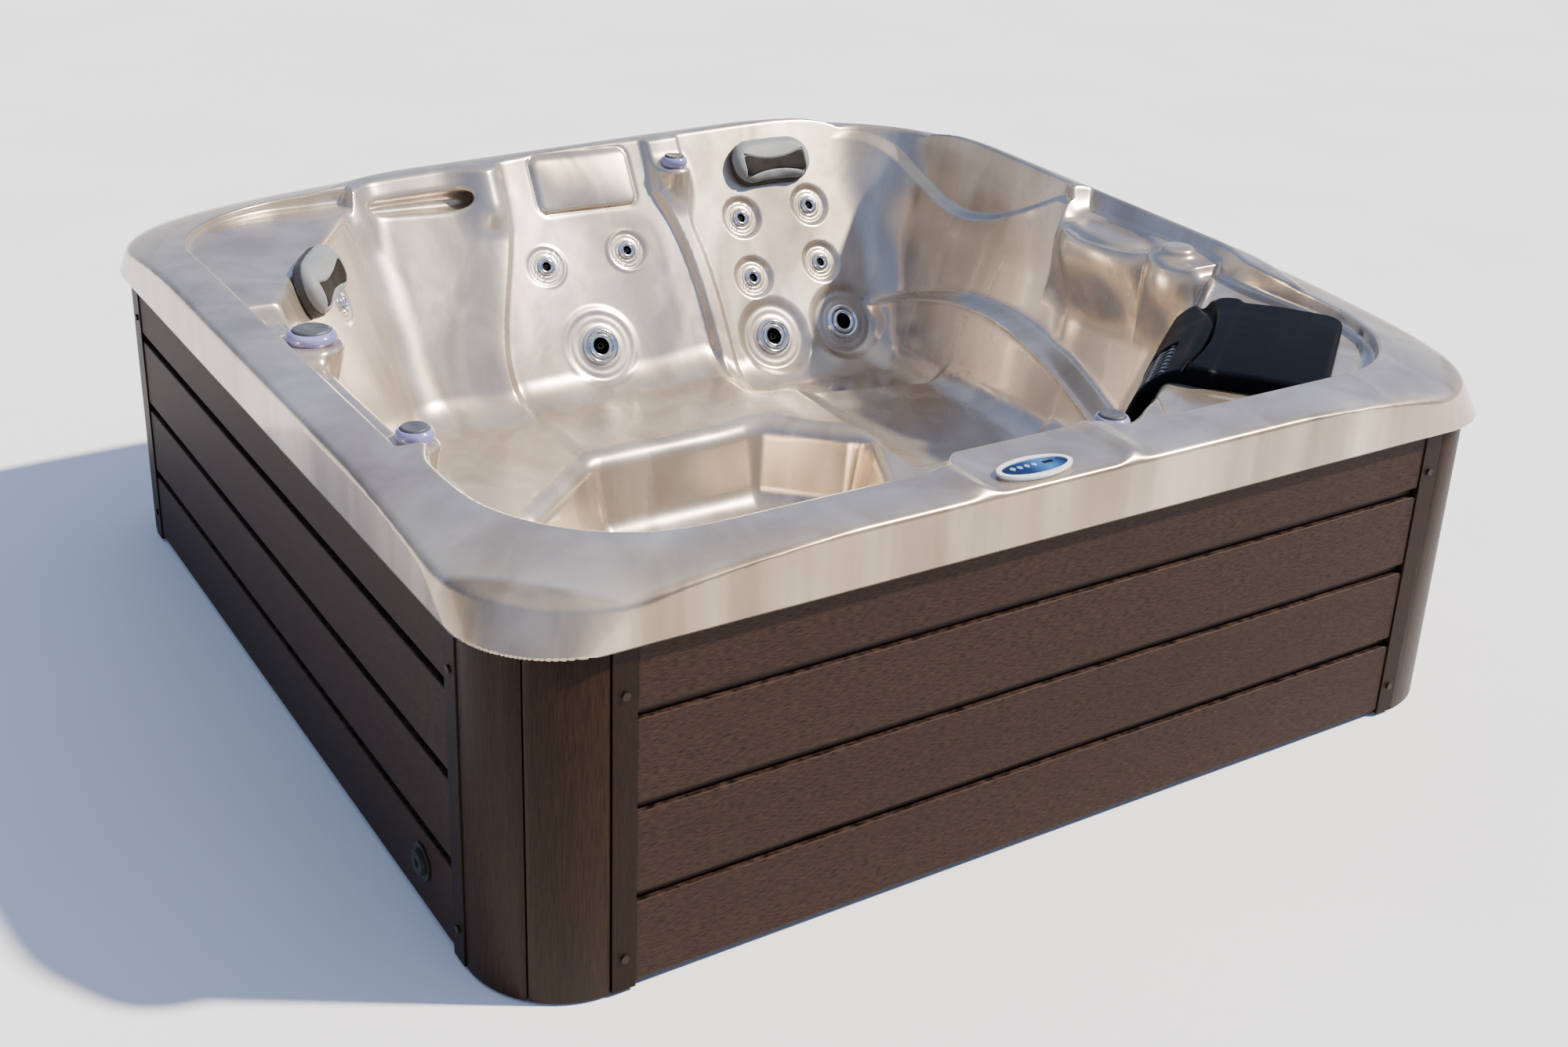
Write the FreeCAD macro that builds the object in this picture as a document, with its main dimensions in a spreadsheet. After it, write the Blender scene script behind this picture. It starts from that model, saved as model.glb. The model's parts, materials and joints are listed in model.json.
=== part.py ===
"""Portable square hot tub: acrylic shell, timber-look cabinet, jets, knobs, pillows and equipment.

Frame: millimetres, +Z up, +X to the right along the front (the side with the control panel), +Y to the
back. The origin is the centre of the footprint on the ground.
"""
import FreeCAD, Part
import math
import os

import Sketcher

Vector = FreeCAD.Vector
Rotation = FreeCAD.Rotation
Placement = FreeCAD.Placement

doc = FreeCAD.newDocument("hot_tub")
sheet = doc.addObject("Spreadsheet::Sheet", "Sizes")

# ---------------------------------------------------------------- driving dimensions (mm, degrees)
DIMENSIONS = {
    # overall
    "lip_half": 1100, "lip_corner_low": 170, "lip_corner_top": 480,
    "lip_bottom": 636, "lip_band_top": 656, "rim_top": 750, "skin": 6,
    # cabinet
    "cabinet_half": 1080, "post_radius": 173, "post_wall": 9, "post_base": 4, "panel_base": 14,
    "panel_half": 863, "plank_first_top": 166, "plank_pitch": 167, "plank_gap": 18, "plank_depth": 16,
    "panel_top": 630, "post_seam": 0.4, "screw_low": 68, "screw_high": 550,
    "strip_depth": 12, "backing_depth": 9, "fit_gap": 0.5, "screw_head": 7, "screw_rise": 4,
    # base and frame
    "tray_half": 1054, "tray_floor": 6, "tray_lip": 34, "tray_wall": 4,
    "rail_size": 36, "frame_half": 1049, "stud_depth": 24,
    # basin walls: positions at the rim and slopes (sideways run per unit of height)
    "left_top": -1000, "right_top": 1000, "front_top": -975, "back_top": 985,
    "left_slope": 0.36, "right_slope": 0.27, "front_slope": 0.55, "back_slope": 0.6,
    "wall_datum": 740, "seat_level": 238, "basin_corner": 90, "seat_round": 36,
    "corner_deck_level": 712,
    # footwell
    "well_floor": 46, "well_left": -470, "well_right": 416, "well_back": 350, "well_front": -610,
    "well_cut": 190, "well_taper": 45, "well_round": 60, "well_waist": 108, "well_waist_y": -83,
    "well_front_waist": 135,
    # foam
    "foam": 34,
    # jets
    "large_face": 50, "large_barrel": 33, "small_face": 25, "small_barrel": 15,
    # knobs
    "diverter_radius": 50, "air_radius": 34, "knob_height": 30, "valve_length": 60,
    "boss_post": 70, "boss_root": 170, "boss_tip": 8,
    # pillows
    "pillow_length": 250, "pillow_height": 146, "pillow_depth": 58, "pillow_round": 24,
    # control panel
    "control_x": -105, "control_y": -1054, "control_long": 153, "control_short": 72,
    "button_radius": 5, "button_pitch": 15,
    # neck collar
    "collar_x": 712, "collar_y": -760, "collar_angle": 38.4, "collar_length": 470, "collar_depth": 316,
    # footwell fittings
    "suction_y": -180, "suction_z": 130, "suction_face": 44, "suction_stem": 20,
    "floor_drain_x": -260, "floor_drain_y": -420, "floor_drain_stem": 15,
    # equipment
    "manifold_y": 985, "manifold_z": 120, "manifold_radius": 30, "hose_radius": 9,
    "motor_radius": 78, "motor_length": 250, "equipment_y": -880, "equipment_z": 140,
    # drain
    "drain_y": -731, "drain_z": 102, "drain_radius": 34, "gland_bore": 7.5,
}
for row, (alias, size) in enumerate(DIMENSIONS.items(), start=1):
    sheet.set("A%d" % row, alias)
    sheet.set("B%d" % row, str(size))
    sheet.setAlias("B%d" % row, alias)
doc.recompute()


# ---------------------------------------------------------------- helpers
def named(expression):
    """Turn the sheet's aliases in an expression into references that other objects can follow."""
    words = []
    word = ""
    for letter in str(expression) + " ":
        if letter.isalnum() or letter == "_":
            word += letter
        else:
            words.append("Sizes." + word if word in DIMENSIONS else word)
            words.append(letter)
            word = ""
    return "".join(words).strip()


def value(expression):
    """The number that an expression of sheet aliases comes to."""
    return float(sheet.evalExpression(named(expression)))


def bind(item, **paths):
    """Tie properties to sheet expressions; a double underscore stands for a dot."""
    for path, expression in paths.items():
        item.setExpression(path.replace("__", "."), named(expression))


def place(item, base, rotation=Rotation()):
    """Put an item at a point given by expressions, with a fixed rotation."""
    item.Placement = Placement(Vector(*[value(part) for part in base]), rotation)
    bind(item, Placement__Base__x=base[0], Placement__Base__y=base[1], Placement__Base__z=base[2])
    return item


def box(name, low, high):
    """A box between two corners."""
    item = doc.addObject("Part::Box", name)
    sizes = ["(%s) - (%s)" % (high[axis], low[axis]) for axis in range(3)]
    bind(item, Length=sizes[0], Width=sizes[1], Height=sizes[2])
    return place(item, low)


AXIS_TURNS = {
    "+Z": Rotation(),
    "-Z": Rotation(Vector(1, 0, 0), 180),
    "+X": Rotation(Vector(0, 1, 0), 90),
    "-X": Rotation(Vector(0, 1, 0), -90),
    "+Y": Rotation(Vector(1, 0, 0), -90),
    "-Y": Rotation(Vector(1, 0, 0), 90),
}


def cylinder(name, radius, height, base, axis="+Z"):
    """A cylinder that starts at base and runs along an axis."""
    item = doc.addObject("Part::Cylinder", name)
    bind(item, Radius=radius, Height=height)
    rotation = AXIS_TURNS[axis] if isinstance(axis, str) else axis
    return place(item, base, rotation)


def cone(name, low_radius, high_radius, height, base):
    """An upright cone frustum."""
    item = doc.addObject("Part::Cone", name)
    bind(item, Radius1=low_radius, Radius2=high_radius, Height=height)
    return place(item, base)


def cut(name, base, tool):
    """base minus tool."""
    item = doc.addObject("Part::Cut", name)
    item.Base = base
    item.Tool = tool
    return item


def fuse(name, shapes):
    """Several overlapping shapes joined into one."""
    item = doc.addObject("Part::MultiFuse", name)
    item.Shapes = shapes
    item.Refine = True
    return item


def common(name, first, second):
    """The space that two shapes share."""
    item = doc.addObject("Part::Common", name)
    item.Base = first
    item.Tool = second
    return item


def group(name, shapes):
    """Separate solids kept together as one item."""
    item = doc.addObject("Part::Compound", name)
    item.Links = shapes
    return item


def rounded(name, base, picks):
    """Fillet edges; picks is a list of (test of the edge, radius expression)."""
    doc.recompute()
    item = doc.addObject("Part::Fillet", name)
    item.Base = base
    chosen = []
    for number, edge in enumerate(base.Shape.Edges, start=1):
        for test, radius in picks:
            if test(edge):
                chosen.append((number, value(radius), value(radius)))
                break
    if not chosen:
        raise RuntimeError("no edge to round on " + name)
    item.Edges = chosen
    return item


def upright(edge):
    """True for an edge that climbs: a wall corner."""
    ends = [vertex.Point for vertex in edge.Vertexes]
    return len(ends) == 2 and abs(ends[0].z - ends[1].z) > 20


def level_at(height):
    """A test for straight level edges at a height."""
    def test(edge):
        return all(abs(vertex.Point.z - value(height)) < 0.05 for vertex in edge.Vertexes)
    return test


def outline(name, corners, level, radius=None, body=None):
    """A closed sketch on a level plane; corners are expressions, rounded when a radius is given.

    Rounding is for rectangles: each side stops one radius short of its corner.
    """
    if body is None:
        sketch = doc.addObject("Sketcher::SketchObject", name)
        place(sketch, ("0", "0", level))
    else:
        sketch = body.newObject("Sketcher::SketchObject", name)
        plane = [feature for feature in body.Origin.OriginFeatures if feature.Role == "XY_Plane"][0]
        sketch.AttachmentSupport = [(plane, "")]
        sketch.MapMode = "FlatFace"
        bind(sketch, AttachmentOffset__Base__z=level)
    count = len(corners)
    sides = []
    for index in range(count):
        here = corners[index]
        there = corners[(index + 1) % count]
        if radius is None:
            sides.append((here, there))
            continue
        step = [value(there[axis]) - value(here[axis]) for axis in range(2)]
        signs = [0 if abs(run) < 1e-6 else math.copysign(1, run) for run in step]
        start = tuple("%s + (%d) * (%s)" % (here[axis], signs[axis], radius) for axis in range(2))
        finish = tuple("%s - (%d) * (%s)" % (there[axis], signs[axis], radius) for axis in range(2))
        sides.append((start, finish))
    for start, finish in sides:
        line = Part.LineSegment(
            Vector(value(start[0]), value(start[1]), 0), Vector(value(finish[0]), value(finish[1]), 0))
        sketch.addGeometry(line, False)
    for index, (start, finish) in enumerate(sides):
        ends = ((1, start), (2, finish)) if radius is not None else ((1, start),)
        for vertex, point in ends:
            for kind, part in (("DistanceX", point[0]), ("DistanceY", point[1])):
                number = sketch.addConstraint(Sketcher.Constraint(kind, -1, 1, index, vertex, value(part)))
                sketch.setExpression("Constraints[%d]" % number, named(part))
    for index in range(count):
        after = (index + 1) % count
        if radius is None:
            sketch.addConstraint(Sketcher.Constraint("Coincident", index, 2, after, 1))
            continue
        join_rounded(sketch, sides, corners, index, after, radius)
    return sketch


def join_rounded(sketch, sides, corners, index, after, radius):
    """Add the arc between two sides of a rounded rectangle."""
    finish = Vector(value(sides[index][1][0]), value(sides[index][1][1]), 0)
    start = Vector(value(sides[after][0][0]), value(sides[after][0][1]), 0)
    corner = Vector(value(corners[after][0]), value(corners[after][1]), 0)
    centre = finish + start - corner
    size = value(radius)
    middle = centre + (corner - centre).normalize() * size
    arc = sketch.addGeometry(Part.Arc(finish, middle, start), False)
    first_is_start = (sketch.Geometry[arc].StartPoint - finish).Length < 1e-3
    near, far = (1, 2) if first_is_start else (2, 1)
    sketch.addConstraint(Sketcher.Constraint("Coincident", index, 2, arc, near))
    sketch.addConstraint(Sketcher.Constraint("Coincident", after, 1, arc, far))
    number = sketch.addConstraint(Sketcher.Constraint("Radius", arc, size))
    sketch.setExpression("Constraints[%d]" % number, named(radius))


def square(half):
    """Corners of a centred square."""
    return [("-(%s)" % half, "-(%s)" % half), (half, "-(%s)" % half), (half, half), ("-(%s)" % half, half)]


def loft(name, sections):
    """A ruled solid through level outlines."""
    item = doc.addObject("Part::Loft", name)
    item.Sections = sections
    item.Solid = True
    item.Ruled = True
    return item


def turned(name, profile, base, rotation=Rotation()):
    """A PartDesign body turned about its own Z axis; profile holds (radius, height) expressions."""
    body = doc.addObject("PartDesign::Body", name)
    sketch = body.newObject("Sketcher::SketchObject", name + "_profile")
    plane = [feature for feature in body.Origin.OriginFeatures if feature.Role == "XZ_Plane"][0]
    sketch.AttachmentSupport = [(plane, "")]
    sketch.MapMode = "FlatFace"
    count = len(profile)
    points = [Vector(value(radius), value(height), 0) for radius, height in profile]
    for index in range(count):
        sketch.addGeometry(Part.LineSegment(points[index], points[(index + 1) % count]), False)
    for index, (radius, height) in enumerate(profile):
        sketch.addConstraint(Sketcher.Constraint("Coincident", index, 2, (index + 1) % count, 1))
        for kind, part in (("DistanceX", radius), ("DistanceY", height)):
            number = sketch.addConstraint(Sketcher.Constraint(kind, -1, 1, index, 1, value(part)))
            sketch.setExpression("Constraints[%d]" % number, named(part))
    revolve = body.newObject("PartDesign::Revolution", name + "_turn")
    revolve.Profile = sketch
    revolve.ReferenceAxis = (sketch, ["V_Axis"])
    revolve.Angle = 360
    place(body, base, rotation)
    return body


def padded(name, corners, level, height, radius=None):
    """A PartDesign body padded upwards from a level outline."""
    body = doc.addObject("PartDesign::Body", name)
    sketch = outline(name + "_outline", corners, level, radius, body)
    pad = body.newObject("PartDesign::Pad", name + "_pad")
    pad.Profile = sketch
    bind(pad, Length=height)
    return body


def mirrored_signs():
    """The four corner sign pairs, in order round the tub."""
    return [(-1, -1), (1, -1), (1, 1), (-1, 1)]


nodes = []


def node(item, label):
    """Register an item as a sub-part of the tub."""
    item.Label = label
    nodes.append(item)
    return item


# ---------------------------------------------------------------- base and frame
def base_tray():
    """The moulded pan that the tub stands on, with an upstand round its edge."""
    outer = padded("tray_outer", square("tray_half"), "0", "tray_lip", "post_radius - 26")
    inner = padded("tray_inner", square("tray_half - tray_wall"), "tray_floor", "tray_lip",
                   "post_radius - 26 - tray_wall")
    node(cut("base_tray_cut", outer, inner), "base_tray")


# near edge of each stud along its side
STUD_PLACES = ("-880", "0", "842")


def frame():
    """Bottom and top rails, and the studs between them."""
    bars = []
    low, high = "tray_floor", "lip_bottom - rail_size"
    inner = "frame_half - rail_size"
    for place_name, level in (("bottom", low), ("top", high)):
        top = "%s + rail_size" % level
        for side in (-1, 1):
            near = "frame_half - rail_size" if side > 0 else "-frame_half"
            far = "frame_half" if side > 0 else "-frame_half + rail_size"
            bars.append(box("%s_rail_x" % place_name, ("-(%s)" % inner + " + 90", near, level),
                            (inner + " - 90", far, top)))
            bars.append(box("%s_rail_y" % place_name, (near, "-(%s)" % inner + " + 90", level),
                            (far, inner + " - 90", top)))
    node(group("frame_rails_group", bars), "frame_rails")
    studs = []
    foot = "tray_floor + rail_size"
    for across in STUD_PLACES:
        for side in (-1, 1):
            near = "frame_half - stud_depth" if side > 0 else "-frame_half"
            far = "frame_half" if side > 0 else "-frame_half + stud_depth"
            studs.append(box("stud_x", (across, near, foot), (across + " + rail_size", far, high)))
            studs.append(box("stud_y", (near, across, foot), (far, across + " + rail_size", high)))
    node(group("frame_studs_group", studs), "frame_studs")


# ---------------------------------------------------------------- cabinet
SIDES = {"front": 0, "right": 90, "back": 180, "left": 270}
# the drain comes out of the left side and the power cable goes in on the right
SIDE_HOLES = {"left": "-cabinet_half - 2", "right": "cabinet_half - 38"}


def side_hole(side):
    """A cylinder through a side panel, for the drain or the cable gland."""
    return cylinder("%s_hole" % side, "drain_radius - 8", "40", (SIDE_HOLES[side], "drain_y", "drain_z"), "+X")


def turned_copy(items, angle):
    """Turn items built for the front side to another side of the cabinet."""
    for item in items:
        turn = Rotation(Vector(0, 0, 1), angle)
        base = item.Placement.Base
        item.setExpression("Placement.Base.x", None)
        item.setExpression("Placement.Base.y", None)
        item.Placement = Placement(turn.multVec(base), turn.multiply(item.Placement.Rotation))
    return items


def planks(side, angle):
    """Four planks of one side, with a shadow groove above each of the lower three."""
    boards = []
    for index in range(4):
        top = "plank_first_top + %d * plank_pitch" % index
        low = "panel_base" if index == 0 else top + " - plank_pitch + plank_gap"
        high = "panel_top" if index == 3 else top
        boards.append(box("%s_plank" % side, ("-panel_half", "-cabinet_half", low),
                          ("panel_half", "-cabinet_half + plank_depth", high)))
    turned_copy(boards, angle)
    item = group("%s_planks_group" % side, boards)
    if side in SIDE_HOLES:
        item = cut("%s_planks_cut" % side, item, side_hole(side))
    return node(item, "%s_planks" % side)


def panel_backing(side, angle):
    """The sheet behind the planks."""
    inner = "-cabinet_half + plank_depth"
    sheet_box = box("%s_backing" % side, ("-panel_half", inner, "panel_base"),
                    ("panel_half", inner + " + backing_depth", "panel_top"))
    turned_copy([sheet_box], angle)
    if side in SIDE_HOLES:
        return cut("%s_backing_cut" % side, sheet_box, side_hole(side))
    return sheet_box


def strips(side, angle):
    """The two upright trim strips that clamp a panel's ends, and their screws."""
    bars, screws = [], []
    inner_edge = "panel_half + fit_gap"
    outer_edge = "cabinet_half - post_radius - fit_gap"
    for hand in (-1, 1):
        near = inner_edge if hand > 0 else "-(%s)" % outer_edge
        far = outer_edge if hand > 0 else "-(%s)" % inner_edge
        bars.append(box("%s_strip" % side, (near, "-cabinet_half - 3", "post_base + 2"),
                        (far, "-cabinet_half + strip_depth", "panel_top")))
        middle = "(%d) * (%s + %s) / 2" % (hand, inner_edge, outer_edge)
        for height in ("screw_low", "screw_high"):
            screws.append(cylinder("%s_screw" % side, "screw_head", "screw_rise",
                                   (middle, "-cabinet_half - 3", height), "-Y"))
    turned_copy(bars, angle)
    turned_copy(screws, angle)
    return bars, screws


def cabinet():
    """Panels, strips, screws and corner posts."""
    side_strips, side_screws, backings = [], [], []
    for side, angle in SIDES.items():
        planks(side, angle)
        bars, screws = strips(side, angle)
        backing = panel_backing(side, angle)
        if side == "front":
            node(group("front_strips_group", bars), "front_trim_strips")
            node(group("front_screws_group", screws), "front_panel_screws")
            node(backing, "front_panel_backing")
        else:
            side_strips += bars
            side_screws += screws
            backings.append(backing)
    node(group("side_strips_group", side_strips), "side_trim_strips")
    node(group("side_screws_group", side_screws), "cabinet_screws")
    node(group("side_backings_group", backings), "side_panel_backings")
    corner_posts()


def corner_posts():
    """Each corner is covered by two eighth-round shells that meet at the diagonal."""
    halves = []
    for index in range(4):
        for half in range(2):
            start = 180 + 90 * index + 45 * half + value("post_seam")
            outer = doc.addObject("Part::Cylinder", "post_outer")
            inner = doc.addObject("Part::Cylinder", "post_inner")
            bind(outer, Radius="post_radius", Height="lip_bottom - post_base - 1",
                 Angle="45 - 2 * post_seam")
            bind(inner, Radius="post_radius - post_wall", Height="lip_bottom", Angle="45")
            sign = mirrored_signs()[index]
            centre = tuple("(%d) * (cabinet_half - post_radius)" % part for part in sign)
            turn = Rotation(Vector(0, 0, 1), start)
            place(outer, (centre[0], centre[1], "post_base"), turn)
            place(inner, (centre[0], centre[1], "0"), turn)
            halves.append(cut("post_half", outer, inner))
    node(group("corner_posts_group", halves), "corner_posts")


# ---------------------------------------------------------------- shell volumes
def lip_solid(name, inset, top):
    """The lip as a solid block: square below, its corners sloping away towards the top."""
    half = "lip_half - (%s)" % inset
    low = outline(name + "_low", square(half), "lip_bottom", "lip_corner_low - (%s)" % inset)
    band = outline(name + "_band", square(half), "lip_band_top", "lip_corner_low - (%s)" % inset)
    crown = outline(name + "_crown", square(half), top, "lip_corner_top - (%s)" % inset)
    return fuse(name, [loft(name + "_foot", [low, band]), loft(name + "_slope", [band, crown])])


def basin_solid(name, out, top):
    """The space inside the walls above the seats, moved outwards by out."""
    walls = {}
    for side, sign in (("left", -1), ("right", 1), ("front", -1), ("back", 1)):
        move = "(%d) * (%s)" % (sign, out)
        upper = "%s_top + (%d) * (%s - wall_datum) * %s_slope + %s" % (side, sign, top, side, move)
        lower = "%s_top - (%d) * (wall_datum - seat_level + (%s)) * %s_slope + %s" % (
            side, sign, out, side, move)
        walls[side] = (upper, lower)
    item = doc.addObject("Part::Wedge", name + "_wedge")
    bind(item,
         Xmin=walls["left"][1], Xmax=walls["right"][1], Zmin="-(%s)" % walls["back"][1],
         Zmax="-(%s)" % walls["front"][1],
         X2min=walls["left"][0], X2max=walls["right"][0], Z2min="-(%s)" % walls["back"][0],
         Z2max="-(%s)" % walls["front"][0],
         Ymin="seat_level - (%s)" % out, Ymax=top)
    item.Placement = Placement(Vector(0, 0, 0), Rotation(Vector(1, 0, 0), 90))
    doc.recompute()
    floor = level_at("seat_level - (%s)" % out)
    return rounded(name, item, [(upright, "basin_corner + (%s)" % out), (floor, "seat_round + (%s)" % out)])


CORNER_WALLS = {
    # name: (point on the wall at the datum, angle of its inward normal, recline in degrees)
    "pillow_corner": ((-730, 690), -32.2, 22),
    "collar_corner": ((622, -650), 128.4, 20),
}


def corner_block(name, key, out):
    """A big block whose inward face is a diagonal corner wall, moved outwards by out."""
    (east, north), angle, recline = CORNER_WALLS[key]
    block = doc.addObject("Part::Box", name)
    bind(block, Length="900", Width="1800", Height="1400")
    turn = Rotation(Vector(0, 0, 1), angle)
    turn = turn.multiply(Rotation(Vector(0, 1, 0), -recline))
    run = turn.multVec(Vector(-900, -900, -700))
    shift = turn.multVec(Vector(-value(out), 0, 0))
    block.Placement = Placement(Vector(east, north, value("wall_datum")) + run + shift, turn)
    return block


def well_solid(name, out):
    """The footwell: a tapered pit, drawn in on the right and cut off at its two back corners."""
    corners = [
        ("well_left - (%s)" % out, "well_front - (%s)" % out),
        ("well_right - well_front_waist + (%s)" % out, "well_front - (%s)" % out),
        ("well_right - well_waist + (%s)" % out, "well_waist_y"),
        ("well_right + (%s)" % out, "well_back - well_cut + (%s) * 0.4" % out),
        ("well_right - well_cut + (%s) * 0.4" % out, "well_back + (%s)" % out),
        ("well_left + well_cut + 60 - (%s) * 0.4" % out, "well_back + (%s)" % out),
        ("well_left - (%s)" % out, "well_back - well_cut - 90 + (%s) * 0.4" % out),
    ]
    pull = [(1, 1), (-1, 1), (-1, 0), (-1, -0.4), (-0.4, -1), (0.4, -1), (1, -0.4)]
    floor = [("%s + (%s) * well_taper" % (point[0], sign[0]), "%s + (%s) * well_taper" % (point[1], sign[1]))
             for point, sign in zip(corners, pull)]
    top = outline(name + "_top", corners, "seat_level + 1")
    bottom = outline(name + "_bottom", floor, "well_floor - (%s)" % out)
    pit = loft(name + "_pit", [bottom, top])
    doc.recompute()
    return rounded(name, pit, [(upright, "well_round + (%s)" % out)])


# bosses: x, y, top level, radius of the boss
BOSSES = {
    "diverter": (-938, 112, 722, 70),
    "air_left": (-945, -428, 722, 52),
    "air_back": (316, 936, 732, 50),
    "air_front": (190, -914, 712, 50),
    "plain": (952, -250, 734, 46),
}


VALVE_BARRELS = {"diverter": "18", "air_left": "13", "air_back": "13", "air_front": "13"}


def boss_outer(key):
    """A round knob boss that runs down into the wall as a cone."""
    east, north, top, radius = (str(part) for part in BOSSES[key])
    foot = top + " - boss_post"
    post = cylinder(key + "_boss", radius, "boss_post", (east, north, foot))
    root = cone(key + "_root", "boss_tip", radius, "boss_root", (east, north, foot + " - boss_root"))
    return [post, root]


def boss_inner(key):
    """The hollow inside a boss."""
    east, north, top, radius = (str(part) for part in BOSSES[key])
    foot = top + " - boss_post"
    post = cylinder(key + "_hollow", radius + " - skin", "boss_post - skin", (east, north, foot))
    root = cone(key + "_hollow_root", "boss_tip - skin", radius + " - skin", "boss_root",
                (east, north, foot + " - boss_root"))
    return [post, root]


# depth of the jet bodies behind the wall
LARGE_JET_DEPTH = 92
SMALL_JET_DEPTH = 66
# jets on the back wall: x, z ; the last one sits in the pillow corner
LARGE_JETS = {"middle": (8, 347), "right_a": (505, 302), "right_b": (728, 308)}
SMALL_JETS = [(-86, 536), (144, 546), (496, 582), (712, 590), (488, 442), (704, 454)]
CORNER_JET = (-700, 655, 598)


def back_wall_y(height):
    """Expression for the back wall's y at a height."""
    return "back_top - (wall_datum - (%s)) * back_slope" % height


def wall_turn():
    """Turns +Z to the back wall's inward normal."""
    recline = math.degrees(math.atan(value("back_slope")))
    return Rotation(Vector(1, 0, 0), 90 - recline)


def corner_turn():
    """Turns +Z to the pillow corner's inward normal."""
    angle, recline = CORNER_WALLS["pillow_corner"][1:]
    return Rotation(Vector(0, 0, 1), angle).multiply(Rotation(Vector(0, 1, 0), 90 - recline))


def jet_places():
    """Every jet: name, size, base point on the wall and the turn to its normal."""
    places = []
    for name, (east, height) in LARGE_JETS.items():
        places.append((name, "large", (str(east), back_wall_y(height), str(height)), wall_turn()))
    for number, (east, height) in enumerate(SMALL_JETS, start=1):
        places.append(("back_%d" % number, "small", (str(east), back_wall_y(height), str(height)), wall_turn()))
    on_wall = corner_wall_point("pillow_corner", CORNER_JET)
    places.append(("corner", "small", tuple(str(round(part, 3)) for part in on_wall), corner_turn()))
    return places


def corner_wall_point(key, near):
    """The point of a corner wall that lies straight in front of or behind a nearby point."""
    (east, north), angle, recline = CORNER_WALLS[key]
    radians = math.radians(angle)
    inward = Vector(math.cos(radians), math.sin(radians), 0)
    away = Vector(near[0] - east, near[1] - north, 0).dot(inward)
    wanted = (value("wall_datum") - near[2]) * math.tan(math.radians(recline))
    return Vector(*near) + inward * (wanted - away)


def wall_drills(prefix, large, small, depth):
    """Cylinders through the wall at every jet."""
    drills = []
    for name, size, base, turn in jet_places():
        radius = large if size == "large" else small
        drill = cylinder("%s_%s" % (prefix, name), radius, depth, base, turn)
        back = turn.multVec(Vector(0, 0, -value(depth) / 2))
        drill.setExpression("Placement.Base.x", None)
        drill.setExpression("Placement.Base.y", None)
        drill.setExpression("Placement.Base.z", None)
        drill.Placement = Placement(drill.Placement.Base + back, turn)
        drills.append(drill)
    return drills


def collar_turn():
    """Local X runs along the neck collar, local Y towards the middle of the tub."""
    return Rotation(Vector(0, 0, 1), value("collar_angle"))


def collar_box(name, low, high):
    """A box in the collar's own directions, placed from the collar's centre."""
    item = doc.addObject("Part::Box", name)
    sizes = [value(high[axis]) - value(low[axis]) for axis in range(3)]
    bind(item, **{side: "(%s) - (%s)" % (high[axis], low[axis])
                  for axis, side in enumerate(("Length", "Width", "Height"))})
    corner = Vector(value(low[0]), value(low[1]), 0)
    centre = Vector(value("collar_x"), value("collar_y"), value(low[2]))
    item.Placement = Placement(centre + collar_turn().multVec(corner), collar_turn())
    if min(sizes) <= 0:
        raise RuntimeError("the box %s has no size" % name)
    return item


def deck_solid(name, out):
    """The sunken deck that the neck collar sits on."""
    reach = "collar_length / 2 + 12 + (%s)" % out
    side = "collar_depth / 2 + 10 + (%s)" % out
    return collar_box(name, ("-(%s)" % reach, "-(%s)" % side, "corner_deck_level - (%s)" % out),
                      (reach, side, "rim_top - 3 * (%s) / skin + 2" % out))


def basin_with_corners(name, out, top):
    """The basin volume less its two diagonal corner walls."""
    walls = basin_solid(name, out, top)
    for key in CORNER_WALLS:
        walls = cut("%s_%s" % (name, key), walls, corner_block("%s_%s_block" % (name, key), key, out))
    return walls


def tub_shell():
    """The acrylic skin: lip, walls, corner deck, bosses, seats and footwell."""
    lip = cut("lip_cap", lip_solid("lip", "0", "rim_top"), lip_solid("lip_hollow", "skin", "rim_top - skin"))
    skins = fuse("shell_outside", [lip, basin_with_corners("basin_out", "skin", "rim_top"),
                                   deck_solid("deck_out", "skin"), well_solid("well_out", "skin")])
    space = fuse("shell_space", [basin_with_corners("basin_in", "0", "rim_top + 20"),
                                 deck_solid("deck_in", "0"), well_solid("well_in", "0")])
    shell = cut("shell_open", skins, space)
    posts = [item for key in BOSSES for item in boss_outer(key)]
    hollows = [item for key in BOSSES for item in boss_inner(key)]
    drills = wall_drills("shell_drill", "large_barrel + 1", "small_barrel + 1", "120")
    drills += [cylinder("boss_bore", "9", "60", (str(east), str(north), str(top - 40)))
               for key, (east, north, top, radius) in BOSSES.items() if key != "plain"]
    drills += well_drills("shell", "1")
    drills.append(control_hole())
    shell = cut("shell_bossed", fuse("shell_posts", [shell] + posts), fuse("shell_hollows", hollows))
    node(cut("shell_drilled", shell, group("shell_drills", drills)), "tub_shell")


def suction_place():
    """The suction fitting's point on the footwell's right wall and the turn to its inward normal."""
    def edge_x(along, low, high):
        return low[0] + (high[0] - low[0]) * (along - low[1]) / (high[1] - low[1])
    front, waist_y, taper = value("well_front"), value("well_waist_y"), value("well_taper")
    front_x = value("well_right") - value("well_front_waist")
    waist_x = value("well_right") - value("well_waist")
    top = [(front_x, front), (waist_x, waist_y)]
    floor = [(front_x - taper, front + taper), (waist_x - taper, waist_y)]
    along = value("suction_y")
    high_x, low_x = edge_x(along, *top), edge_x(along, *floor)
    depth = value("seat_level") + 1 - value("well_floor")
    share = (value("suction_z") - value("well_floor")) / depth
    point = Vector(low_x + (high_x - low_x) * share, along, value("suction_z"))
    run = Vector(top[1][0] - top[0][0], top[1][1] - top[0][1], 0)
    rise = Vector(high_x - low_x, 0, depth)
    normal = rise.cross(run)
    if normal.x > 0:
        normal = normal * -1
    return point, Rotation(Vector(0, 0, 1), normal)


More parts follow.
